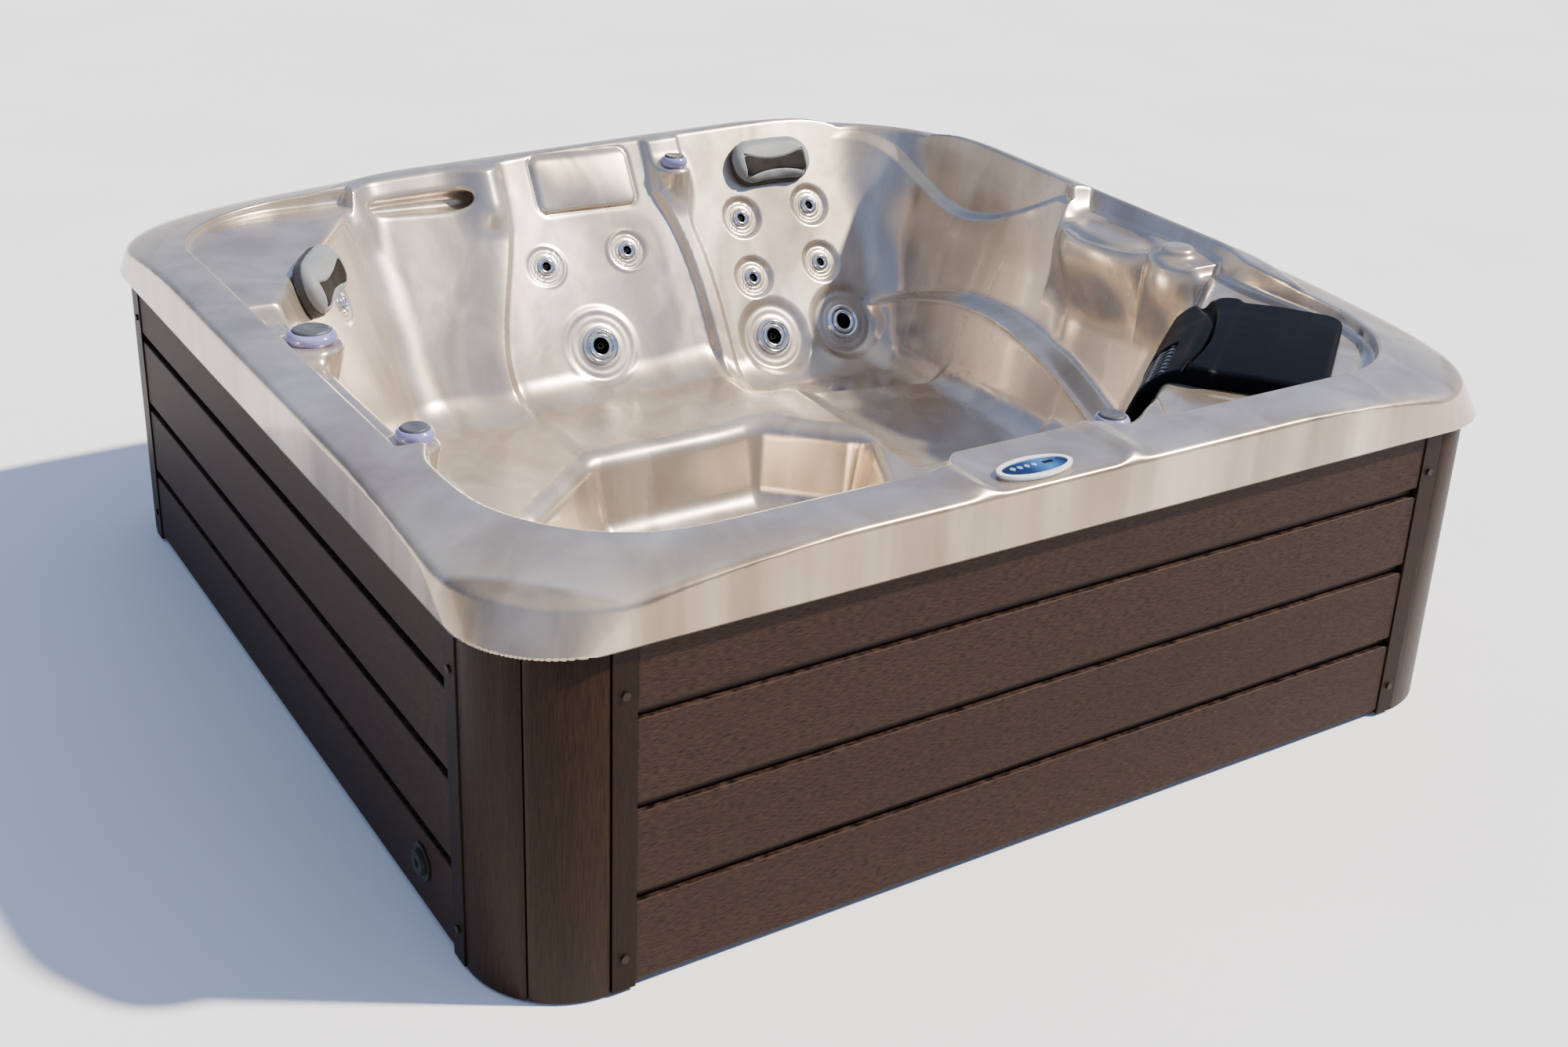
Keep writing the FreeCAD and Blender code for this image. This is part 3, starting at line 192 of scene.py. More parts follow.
def seat_level(x, y):
    """Height of the seats and benches."""
    level = np.full_like(x, SEAT)
    front = y - (532 - 0.243 * (x - 278))
    bowl_in = step(front / 22) * step((x - 330) / 40)
    platform = step((330 - np.abs(x - 560)) / 120) * step((y + 60) / 200)
    middle = run(x, -230, 330, 20, 60) * step((y - 330) / 60)
    bench = step((y + 40) / 14) * step((x - 440) / 30)
    return level + 16 * platform - 46 * bowl_in + 6 * middle - 16 * bench * (1 - bowl_in)


def diagonal(x, y, lean, place, facing, recline):
    """Distance behind a reclined wall that stands across a corner."""
    a, t = math.radians(facing), math.tan(math.radians(recline))
    ahead = (x - place[0]) * math.cos(a) + (y - place[1]) * math.sin(a) - lean * t
    return -ahead * math.cos(math.radians(recline))


def basin(x, y, z):
    """The open space inside the tub: negative in the air."""
    lean = WALL_TOP - z
    # back wall with its two ribs, head rest and lobes
    rib = x - follow(LEFT_RIB, z)
    left_ridge = 20 * np.where(rib > 0, bump_at(rib, 14), bump_at(rib, 75))
    band = x - follow(RIGHT_RIB, z)
    wide = 44 + 50 * step((z - 640) / 70)
    right_band = 22 * step((band + 4) / 11) * step((wide - band) / 11)
    scoop = 14 * bump_at(x - 32, 170)
    head = round_square(x - 69, z - 712, 137, 66, 26)
    crown = np.maximum(0, 1 - ((x - 69) / 137) ** 2) * np.maximum(0, 1 - ((z - 712) / 66) ** 2)
    head_rest = 7 * (1 - np.exp(-np.maximum(-head, 0) / 5)) + 10 * crown ** 0.7 - 3 * bump_at(head, 6)
    lobes = 30 * (bump_at(x + 548, 44) + bump_at(x + 206, 46)) * step((z - 655) / 46)
    shift = left_ridge + right_band + head_rest + lobes - scoop * run(x, -200, 280, 60)
    back = leaning(y - (BACK_AT - lean * BACK_LEAN) + shift, BACK_LEAN)
    # right wall with its S ledge, the plate's shelf and the arm rest
    above = z - follow(LEDGE_S, y)
    ledge = 26 * step(above / 8) * step((y - 200) / 34)
    lobe = np.sqrt(np.maximum(0, 1 - ((y + 10) / 176) ** 2))
    side_lobe = 0.8 * np.sqrt(np.maximum(0, 1 - ((y + 250) / 96) ** 2))
    shelf = 96 * np.maximum(lobe, side_lobe) * step((z - 600) / 110)
    under = follow(ARM_ARC, y) - z
    arm_width = 34 + 22 * step((300 - y) / 400)
    arm = arm_width * step(under / 12) + 5 * bump_at(under, 16)
    folds = 7 * bump_at(y - 60, 36) * step((z - 440) / 80) + 6 * bump_at(y - 800, 50)
    right = leaning(x - (RIGHT_AT - lean * RIGHT_LEAN) - ledge + shelf + arm + folds, RIGHT_LEAN)
    # left wall with its knob ledge
    left_plain = leaning(-x + (LEFT_AT + lean * LEFT_LEAN), LEFT_LEAN)
    left_ledge = leaning(-x + (LEFT_AT + 8 + 42 * run(y, -520, 450, 60) + lean * 0.1), 0.1)
    left = smooth_max(left_plain, left_ledge, 50)
    # front wall, further in behind the keypad
    bulge = 46 * run(x, -205, 150, 26, 34) + 36 * step((x - 235) / 40)
    front = leaning(-y + (FRONT_AT + bulge + lean * FRONT_LEAN), FRONT_LEAN)
    walls = round_max(back, right, 84 + 90 * step((z - 560) / 120))
    walls = np.maximum(walls, round_max(left, front, 300))
    walls = smooth_max(walls, round_max(left, back, 60), 24)
    # diagonal corners, behind a pillow and under the neck collar
    walls = smooth_max(walls, diagonal(x, y, lean, *PILLOW_CORNER), 60)
    walls = smooth_max(walls, diagonal(x, y, lean, (622, -650), COLLAR_ANGLE + 90, COLLAR_RECLINE), 50)
    floor = seat_level(x, y) - z
    deep = round_max(walls, floor, 62)
    # upper space over the sunken decks
    opened = 40 * run(y, -330, 250, 90) * step((x - 700) / 100)
    slope = 0.55 * step((x - 820) / 60) * step((y + 420) / 100)
    rim_line = leaning(round_square(x - 2 - opened, y - 5, 1002, 980, 300) - slope * (z - 720), slope)
    deck = np.full_like(x, OVER_RIM)
    corner_run = step((-540 - x) / 24) * step((y - 300) / 30)
    deck = deck - (OVER_RIM - CORNER_DECK) * corner_run
    left_run = step((-870 - x) / 30) * run(y, -500, 330, 26, 30)
    dip = 12 * left_run * run(y, -360, 44, 20)
    deck = deck - (OVER_RIM - LEFT_DECK) * left_run - dip
    right_run = step((x - 860) / 30) * run(y, -350, 190, 30, 60)
    collar_run = step((x - 226 - 0.7 * (y + 1000)) / 40) * step((-300 - y) / 40)
    deck = deck - np.maximum((OVER_RIM - RIGHT_DECK) * right_run, (OVER_RIM - COLLAR_DECK) * collar_run)
    upper = round_max(rim_line, deck - z, 10)
    space = smooth_min(deep, upper, 16)
    # grab slot in the back rim
    slot = capsule(x, y, z, (-535, 972, 702), (-216, 968, 700), 11, 22)
    space = smooth_min(space, slot, 26)
    # footwell
    well_side = leaning(polygon(x, y, WELL_CORE) - WELL_ROUND + WELL_SLOPE * (SEAT - z), WELL_SLOPE)
    return smooth_min(space, round_max(well_side, WELL_FLOOR - z, 52), 40)


def add_posts(x, y, z, space):
    """Bosses stand in the basin: material wins over space."""
    for east, north, top, radius in BOSSES:
        near = np.hypot(x - east, y - north) < radius + 120
        if not near.any():
            continue
        px, py, pz = x[near], y[near], z[near]
        out = np.hypot(px - east, py - north)
        depth = np.clip(top - pz, 0, 260) / 260
        girth = (radius - 6) * (1 - depth ** 1.3)
        post = smooth_max(leaning(out - girth, 0.25), pz - top, 14)
        space[near] = smooth_max(space[near], -post, 34)
    return space


def dish(x, y, z, space, point, normal, size):
    """A shallow stepped dish round a jet."""
    reach = size * 2.6
    near = (np.abs(x - point[0]) < reach) & (np.abs(y - point[1]) < reach) & (np.abs(z - point[2]) < reach)
    if not near.any():
        return space
    dx, dy, dz = x[near] - point[0], y[near] - point[1], z[near] - point[2]
    along = dx * normal[0] + dy * normal[1] + dz * normal[2]
    out = np.sqrt(np.maximum(dx * dx + dy * dy + dz * dz - along * along, 0))
    r = out / size
    dip = 3.4 * step((1.95 - r) / 0.22)
    bead = 0.9 * bump_at(r - 1.55, 0.16) + 1.8 * bump_at(r - 1.1, 0.16)
    flat = step((2.15 - r) / 0.3) * step((60 - np.abs(along)) / 12)
    level = space[near] * (1 - flat) + (bead - dip - along) * flat
    bore = np.maximum(out - 0.72 * size, -along - 52)
    space[near] = smooth_min(level, np.maximum(bore, along - 20), 3)
    return space


def hollow(x, y, z):
    """The basin with its bosses and jet dishes."""
    space = add_posts(x, y, z, basin(x, y, z))
    for point, normal in [back_frame(*place) for place in SMALL] + [corner_frame(CORNER_JET)]:
        space = dish(x, y, z, space, point, normal, SMALL_DISH)
    for place in LARGE:
        space = dish(x, y, z, space, *back_frame(*place), LARGE_DISH)
    return space


def block_side(x, y):
    """Distance outside the plain block that backs the basin under the lip."""
    return round_square(x, y, 1046, 1046, 330)


def shell_field(x, y, z):
    """The whole moulding: negative in the material."""
    space = hollow(x, y, z)
    # oval plate on the right shelf, with a channel round it
    oval = np.hypot((x - 974) / 62, (y + 4) / 138)
    space = space - 11 * bump_at(oval - 1.0, 0.15) * run(z, 690, 768, 20, 8)
    # keypad plate
    plate = round_square(x - PLATE[0], y - PLATE[1], *PLATE[2:])
    space_above = smooth_max((plate + 2 - (z - 747) * 1.6) / 1.8, 747 - z, 3)
    space = smooth_min(space, space_above, 3)
    # raised rings on the footwell's right wall and a fine step line round the collar
    for along, height, radius in WELL_RINGS:
        ring = np.hypot(y - along, z - height) - radius
        space = space + 3 * bump_at(ring, 5) * run(x, 180, 330, 10) * step((225 - z) / 8)
    u, v = collar_frame(x, y)
    line = bump_at(round_square(u, v + 20, 268, 176, 90), 6)
    space = space - 3.5 * line * run(z, 690, 735, 8, 6) * step((60 - v) / 20)
    below = np.maximum(np.maximum(block_side(x, y), z - 700), 24 - z)
    return smooth_max(np.minimum(lip_block(x, y, z), below), -space, 9)


# ---- surface extraction
def in_parts(field, x, y, z, size=60000):
    """Evaluate a field a part at a time, which keeps its arrays small and quick."""
    out = np.empty(len(x), np.float32)
    for start in range(0, len(x), size):
        part = slice(start, start + size)
        out[part] = field(x[part].astype(np.float32), y[part].astype(np.float32), z[part].astype(np.float32))
    return out


def linked(name, data):
    """A new object in the scene."""
    item = bpy.data.objects.new(name, data)
    bpy.context.scene.collection.objects.link(item)
    return item


def surface_of(field, low, high, coarse, split):
    """Mesh the zero level of a field: a coarse search, then a fine grid near the surface."""
    fine = coarse / split
    counts = [int(math.ceil((high[i] - low[i]) / coarse)) for i in range(3)]
    axes = [low[i] + coarse * np.arange(counts[i] + 1) for i in range(3)]
    gx, gy, gz = np.meshgrid(*axes, indexing="ij")
    rough = in_parts(field, gx.ravel(), gy.ravel(), gz.ravel()).reshape(gx.shape)
    near = np.abs(rough) < coarse * 0.9
    inside = rough < 0
    cells = np.zeros(counts, bool)
    for corner in CORNERS:
        part = tuple(slice(c, count + c) for c, count in zip(corner, counts))
        cells |= near[part]
        cells |= inside[part] != inside[:-1, :-1, :-1]
    grown = np.pad(cells, 1)
    for axis in range(3):
        grown = grown | np.roll(grown, 1, axis) | np.roll(grown, -1, axis)
    cells = grown[1:-1, 1:-1, 1:-1] & (np.abs(rough[:-1, :-1, :-1]) < coarse * 7)
    shape = [n * split + 1 for n in counts]
    values = np.where(rough[:-1, :-1, :-1] < 0, -coarse, coarse).astype(np.float32)
    for axis in range(3):
        values = values.repeat(split, axis)
    values = np.pad(values, (0, 1), mode="edge")
    marks = np.zeros(shape, bool)
    ci, cj, ck = np.nonzero(cells)
    for a, b, c in np.ndindex(split + 1, split + 1, split + 1):
        marks[ci * split + a, cj * split + b, ck * split + c] = True
    mi, mj, mk = np.nonzero(marks)
    values[mi, mj, mk] = in_parts(field, low[0] + fine * mi, low[1] + fine * mj, low[2] + fine * mk)
    neg = values < 0
    # one vertex in each cell that the surface crosses
    mixed = np.zeros([n - 1 for n in shape], bool)
    for corner in CORNERS:
        mixed |= neg[tuple(slice(c, n - 1 + c) for c, n in zip(corner, shape))] != neg[:-1, :-1, :-1]
    vi = np.argwhere(mixed)
    number = np.full(mixed.shape, -1, np.int32)
    number[mixed] = np.arange(len(vi))
    total = np.zeros((len(vi), 3))
    hits = np.zeros(len(vi))
    for p in CORNERS:
        for axis in range(3):
            if p[axis]:
                continue
            q = list(p)
            q[axis] = 1
            va = values[vi[:, 0] + p[0], vi[:, 1] + p[1], vi[:, 2] + p[2]]
            vb = values[vi[:, 0] + q[0], vi[:, 1] + q[1], vi[:, 2] + q[2]]
            cross = (va < 0) != (vb < 0)
            t = np.where(cross, va / np.where(cross, va - vb, 1), 0)
            spot = np.array(p, float) + np.outer(t, np.array(q) - np.array(p))
            total += spot * cross[:, None]
            hits += cross
    verts = np.array(low) + fine * (vi + total / hits[:, None])
    faces = []
    for axis in range(3):
        other = [i for i in range(3) if i != axis]
        a, b = [slice(1, -1)] * 3, [slice(1, -1)] * 3
        a[axis], b[axis] = slice(0, -1), slice(1, None)
        change = neg[tuple(a)] != neg[tuple(b)]
        e = np.argwhere(change)
        flip = neg[tuple(b)][change]
        e[:, other] += 1
        ring = []
        for da, db in ((0, 0), (1, 0), (1, 1), (0, 1)):
            c = e.copy()
            c[:, other[0]] -= da
            c[:, other[1]] -= db
            ring.append(number[c[:, 0], c[:, 1], c[:, 2]])
        quad = np.stack(ring, 1)
        if axis == 1:
            flip = ~flip
        quad[flip] = quad[flip][:, ::-1]
        faces.append(quad)
    return verts, np.concatenate(faces)


def slope_of(field, points, h=1.0):
    """A field's gradient by central differences."""
    grad = np.empty_like(points)
    for axis in range(3):
        a, b = points.copy(), points.copy()
        a[:, axis] += h
        b[:, axis] -= h
        grad[:, axis] = (in_parts(field, *a.T) - in_parts(field, *b.T)) / (2 * h)
    return grad


def field_mesh(name, field, low, high, coarse, split, keep=None, settle=2, frame_of=None, own_normals=True):
    """An object from a field's surface, settled on the zero level, with the field's own normals."""
    verts, faces = surface_of(field, low, high, coarse, split)
    if keep is not None:
        faces = faces[keep(verts[faces].mean(1))]
        used, faces = np.unique(faces, return_inverse=True)
        verts, faces = verts[used], faces.reshape(-1, 4)
    for _ in range(settle):
        grad = slope_of(field, verts)
        size = np.maximum((grad ** 2).sum(1), 0.05)
        move = -(in_parts(field, *verts.T) / size)[:, None] * grad
        length = np.linalg.norm(move, axis=1, keepdims=True)
        verts = verts + move * np.minimum(1, (coarse / split) / np.maximum(length, 1e-9))
    normals = slope_of(field, verts, 1.5)
    if frame_of is not None:
        origin, turn = frame_of
        verts = np.array(origin) + verts @ turn
        normals = normals @ turn
    mesh = bpy.data.meshes.new(name)
    mesh.vertices.add(len(verts))
    mesh.vertices.foreach_set("co", (verts * MM).ravel())
    mesh.loops.add(len(faces) * 4)
    mesh.loops.foreach_set("vertex_index", faces.ravel())
    mesh.polygons.add(len(faces))
    mesh.polygons.foreach_set("loop_start", np.arange(0, len(faces) * 4, 4))
    mesh.polygons.foreach_set("use_smooth", np.ones(len(faces), bool))
    mesh.update(calc_edges=True)
    mesh.validate()
    if own_normals:
        normals /= np.maximum(np.linalg.norm(normals, axis=1, keepdims=True), 1e-9)
        mesh.normals_split_custom_set_from_vertices(normals)
    return linked(name, mesh)


# ---- materials
def set_stops(band, stops):
    """Fills a colour ramp with (place, colour) pairs."""
    while len(band.elements) < len(stops):
        band.elements.new(0.5)
    for element, (where, colour) in zip(band.elements, stops):
        element.position = where
        element.color = (*colour, 1)


WHITE = (1.0, 1.0, 1.0)


class Paint:
    """Builds one procedural material. Coordinates are the object's own, in metres."""

    def __init__(self, name, rough=0.5, metal=0.0, shine=0.5, **sockets):
        self.material = bpy.data.materials.new(name)
        self.material.use_nodes = True
        self.tree = self.material.node_tree
        self.shader = self.tree.nodes["Principled BSDF"]
        self.set("Roughness", rough)
        self.set("Metallic", metal)
        self.set("Specular IOR Level", shine)
        for key, value in sockets.items():
            self.set(key.replace("_", " "), value)
        self.coords = self.tree.nodes.new("ShaderNodeTexCoord").outputs["Object"]
        self.height = None

    def set(self, socket, value):
        self.shader.inputs[socket].default_value = value

    def node(self, kind, inputs=(), **options):
        item = self.tree.nodes.new("ShaderNode" + kind)
        for key, value in options.items():
            setattr(item, key, value)
        for key, value in dict(inputs).items():
            if hasattr(value, "is_linked"):
                self.tree.links.new(value, item.inputs[key])
            else:
                item.inputs[key].default_value = value
        return item

    def link(self, output, socket):
        self.tree.links.new(output, self.shader.inputs[socket])

    def gloss(self, factor, low, high):
        self.link(self.span(factor, low, high), "Roughness")

    def noise(self, scale, stretch=(1, 1, 1), detail=4, distortion=0.0):
        mapped = self.node("Mapping", {"Vector": self.coords, "Scale": stretch})
        return self.node("TexNoise", {"Vector": mapped.outputs[0], "Scale": scale, "Detail": detail,
                                      "Distortion": distortion}).outputs["Fac"]

    def ramp(self, factor, *stops):
        item = self.node("ValToRGB", {"Fac": factor})
        set_stops(item.color_ramp, stops)
        return item.outputs["Color"]

    def place(self):
        """The X, Y and Z coordinates on their own."""
        return self.node("SeparateXYZ", {"Vector": self.coords}).outputs

    def mix(self, factor, a, b, blend="MIX"):
        item = self.node("Mix", {0: factor, 6: a, 7: b}, data_type="RGBA", blend_type=blend)
        return item.outputs[2]

    def math(self, operation, a, b=0.0):
        return self.node("Math", {0: a, 1: b}, operation=operation).outputs[0]

    def times(self, a, b):
        return self.math("MULTIPLY", a, b)

    def within(self, value, centre, reach):
        """1 where the value is less than reach from the centre."""
        return self.math("LESS_THAN", self.math("ABSOLUTE", self.math("ADD", value, -centre)), reach)

    def span(self, factor, low, high, from_low=0.3, from_high=0.7):
        return self.node("MapRange", {"Value": factor, "From Min": from_low, "From Max": from_high,
                                      "To Min": low, "To Max": high}).outputs[0]

    def bump(self, factor, depth, strength=1.0):
        """Adds relief of the given depth in metres."""
        inputs = {"Height": factor, "Distance": depth, "Strength": strength}
        if self.height is not None:
            inputs["Normal"] = self.height
        self.height = self.node("Bump", inputs).outputs["Normal"]
        self.link(self.height, "Normal")


def shell_paint():
    p = Paint("pearl_shell", metal=0.78, Coat_Weight=0.6, Coat_Roughness=0.07)
    cloud = p.noise(2.1, (1, 1, 0.55), 5, 1.4)
    streak = p.noise(7.5, (1, 1, 0.16), 6, 0.8)
    fleck = p.noise(1400, (1, 1, 1), 2)
    base = p.ramp(cloud, (0.30, (0.50, 0.40, 0.30)), (0.52, (0.64, 0.545, 0.435)),
                  (0.72, (0.70, 0.64, 0.565)))
    veil = p.ramp(streak, (0.35, (0.70, 0.655, 0.61)), (0.62, WHITE))
    spark = p.ramp(fleck, (0.35, (0.9, 0.9, 0.9)), (0.65, WHITE))
    colour = p.mix(0.75, base, veil, "MULTIPLY")
    # the outer edge has painted shade: a deeper brown with upright streaks, standing in for the dark ground
    # it reflects
    x, y, z = p.place()
    far = p.math("MAXIMUM", p.math("ABSOLUTE", x), p.math("ABSOLUTE", y))
    corner = p.math("ADD", p.math("ABSOLUTE", x), p.math("ABSOLUTE", y))
    reach = p.math("MAXIMUM", far, p.math("ADD", p.times(corner, 0.7071), -0.31))
    side = p.times(p.span(reach, 0, 1, 1.085, 1.097), p.span(z, 1, 0, 0.742, 0.752))
    smear = p.noise(9, (1, 1, 0.07), 5, 0.4)
    painted_shade_brown = p.ramp(smear, (0.36, (0.50, 0.44, 0.38)), (0.64, (0.84, 0.78, 0.70)))
    # painted shade: the darker brown is multiplied into the outer band below the rim's crease
    colour = p.mix(side, colour, p.mix(1.0, colour, painted_shade_brown, "MULTIPLY"))
    p.link(p.mix(0.5, colour, spark, "MULTIPLY"), "Base Color")
    p.gloss(streak, 0.22, 0.31)
    # the anti-slip ribs are on the footwell's floor alone
    low = p.math("LESS_THAN", z, 0.052)
    mask = p.times(low, p.times(p.within(x, -0.095, 0.26), p.within(y, -0.13, 0.36)))
    rib_x, rib_y = (p.math("SINE", p.times(along, 520.0)) for along in (x, y))
    ribs = p.times(mask, p.times(rib_x, rib_y))
    p.bump(ribs, 0.0016, 0.8)
    p.bump(p.noise(26, (1, 1, 1), 2), 0.0004, 0.35)
    return p.material


def board_paint(name, dark, light, stretch, rough=(0.5, 0.66)):
    """Brushed composite board: short streaks along the grain over a slow change of shade."""
    p = Paint(name, shine=0.1)
    grain = p.noise(1.0, tuple(900 * s for s in stretch), 4, 0.15)
    slow = p.noise(5.0, stretch, 4)
    fibre = p.noise(1.0, tuple(260 * s for s in stretch), 5, 0.3)
    middle = tuple((a + b) / 2 for a, b in zip(dark, light))
    colour = p.ramp(grain, (0.34, dark), (0.5, middle), (0.68, light))
    shade = p.ramp(slow, (0.3, (0.84, 0.82, 0.80)), (0.7, WHITE))
    wisps = p.ramp(fibre, (0.36, (0.74, 0.72, 0.70)), (0.6, WHITE))
    colour = p.mix(0.8, colour, shade, "MULTIPLY")
    p.link(p.mix(0.7, colour, wisps, "MULTIPLY"), "Base Color")
    p.gloss(grain, *rough)
    p.bump(grain, 0.0007, 0.7)
    p.bump(fibre, 0.0005, 0.5)
    return p.material


def face_paint():
    """Blue film that runs from navy to sky blue, with a dark display window."""
    p = Paint("keypad_film", rough=0.3, shine=0.15)
    x, y, _ = p.place()
    along = p.span(x, 0.0, 1.0, -0.18, -0.03)
    wave = p.math("ADD", along, p.times(p.noise(22, (1, 2, 1), 3), 0.12))
    colour = p.ramp(wave, (0.08, (0.0015, 0.005, 0.026)), (0.45, (0.003, 0.018, 0.085)),
                    (0.72, (0.035, 0.13, 0.31)), (0.95, (0.005, 0.016, 0.070)))
    window = p.times(p.within(x, -0.073, 0.0105), p.within(y, -1.048, 0.0046))
    p.link(p.mix(window, colour, (0.006, 0.008, 0.012, 1)), "Base Color")
    p.gloss(p.noise(180), 0.26, 0.38)
    p.bump(window, 0.0006, 0.8)
    return p.material


def chrome_paint(name, tint, low, high):
    p = Paint(name, metal=1.0)
    smear = p.noise(70, (1, 1, 1), 4, 0.6)
    p.link(p.ramp(smear, (0.3, tuple(0.86 * c for c in tint)), (0.7, tint)), "Base Color")
    p.gloss(smear, low, high)
    p.bump(p.noise(500), 0.00005, 0.4)
    return p.material


def brushed_paint(name, tint, stretch):
    p = Paint(name, metal=1.0)
    lines = p.noise(1.0, stretch, 4)
    p.link(p.ramp(lines, (0.3, tuple(0.75 * c for c in tint)), (0.7, tint)), "Base Color")
    p.gloss(lines, 0.26, 0.44)
    p.bump(lines, 0.0001, 0.5)
    return p.material


def knob_paint():
    p = Paint("knob_ring", rough=0.16, Transmission_Weight=0.22, IOR=1.5, Coat_Weight=0.6,
              Coat_Roughness=0.05)
    haze = p.noise(30, (1, 1, 1), 4, 0.5)
    p.link(p.ramp(haze, (0.3, (0.20, 0.19, 0.46)), (0.7, (0.34, 0.34, 0.64))), "Base Color")
    p.gloss(haze, 0.12, 0.24)
    p.bump(p.noise(420), 0.0001, 0.4)
    return p.material


def timber_paint():
    p = Paint("sawn_timber", shine=0.3)
    rings = p.noise(1.0, (38, 38, 6), 5, 1.2)
    saw = p.noise(1.0, (420, 420, 420), 3)
    colour = p.ramp(rings, (0.3, (0.38, 0.25, 0.13)), (0.5, (0.60, 0.45, 0.27)), (0.72, (0.70, 0.56, 0.36)))
    p.link(colour, "Base Color")
    p.gloss(rings, 0.6, 0.8)
    p.bump(rings, 0.0008, 0.5)
    p.bump(saw, 0.0005, 0.5)
    return p.material


def foam_paint():
    p = Paint("sprayed_foam", Subsurface_Weight=0.12, shine=0.3)
    lumps = p.noise(34, (1, 1, 1), 6, 0.4)
    colour = p.ramp(lumps, (0.3, (0.62, 0.50, 0.24)), (0.55, (0.80, 0.70, 0.42)), (0.75, (0.88, 0.81, 0.58)))
    p.link(colour, "Base Color")
    p.gloss(lumps, 0.55, 0.8)
    p.bump(lumps, 0.006, 0.8)
    p.bump(p.noise(260, detail=3), 0.0008, 0.6)
    return p.material


def pleat_paint():
    p = Paint("pleated_paper", Sheen_Weight=0.2)
    x, _, z = p.place()
    pleats = p.math("SINE", p.times(p.math("ADD", x, z), 900.0))
    colour = p.ramp(pleats, (0.2, (0.70, 0.70, 0.67)), (0.8, (0.92, 0.92, 0.89)))
    p.link(colour, "Base Color")
    p.gloss(p.noise(80), 0.65, 0.85)
    p.bump(pleats, 0.001, 0.8)
    return p.material


def insert_paint():
    """Dark ribbed foam skin."""
    p = Paint("pillow_insert", shine=0.06)
    weave = p.noise(420, (1, 1, 1), 4)
    broad = p.noise(26, detail=3)
    colour = p.ramp(broad, (0.3, (0.014, 0.0125, 0.011)), (0.7, (0.028, 0.025, 0.022)))
    fibres = p.ramp(weave, (0.3, (0.6, 0.6, 0.6)), (0.7, (1, 1, 1)))
    p.link(p.mix(0.5, colour, fibres, "MULTIPLY"), "Base Color")
    p.gloss(weave, 0.6, 0.8)
    p.bump(weave, 0.0008, 0.8)
    return p.material


def plain(name, dark, light, rough, relief=0.0002, scale=60, stretch=(1, 1, 1), fine=900, **sockets):
    """Mottled colour, uneven gloss and a fine surface grain."""
    p = Paint(name, **sockets)
    broad = p.noise(scale, stretch, 5)
    grain = p.noise(fine, detail=3)
    colour = p.ramp(broad, (0.3, dark), (0.7, light))
    speck = p.ramp(grain, (0.3, (0.82, 0.82, 0.82)), (0.7, WHITE))
    p.link(p.mix(0.6, colour, speck, "MULTIPLY"), "Base Color")
    p.gloss(broad, *rough)
    p.bump(grain, relief, 0.6)
    return p.material


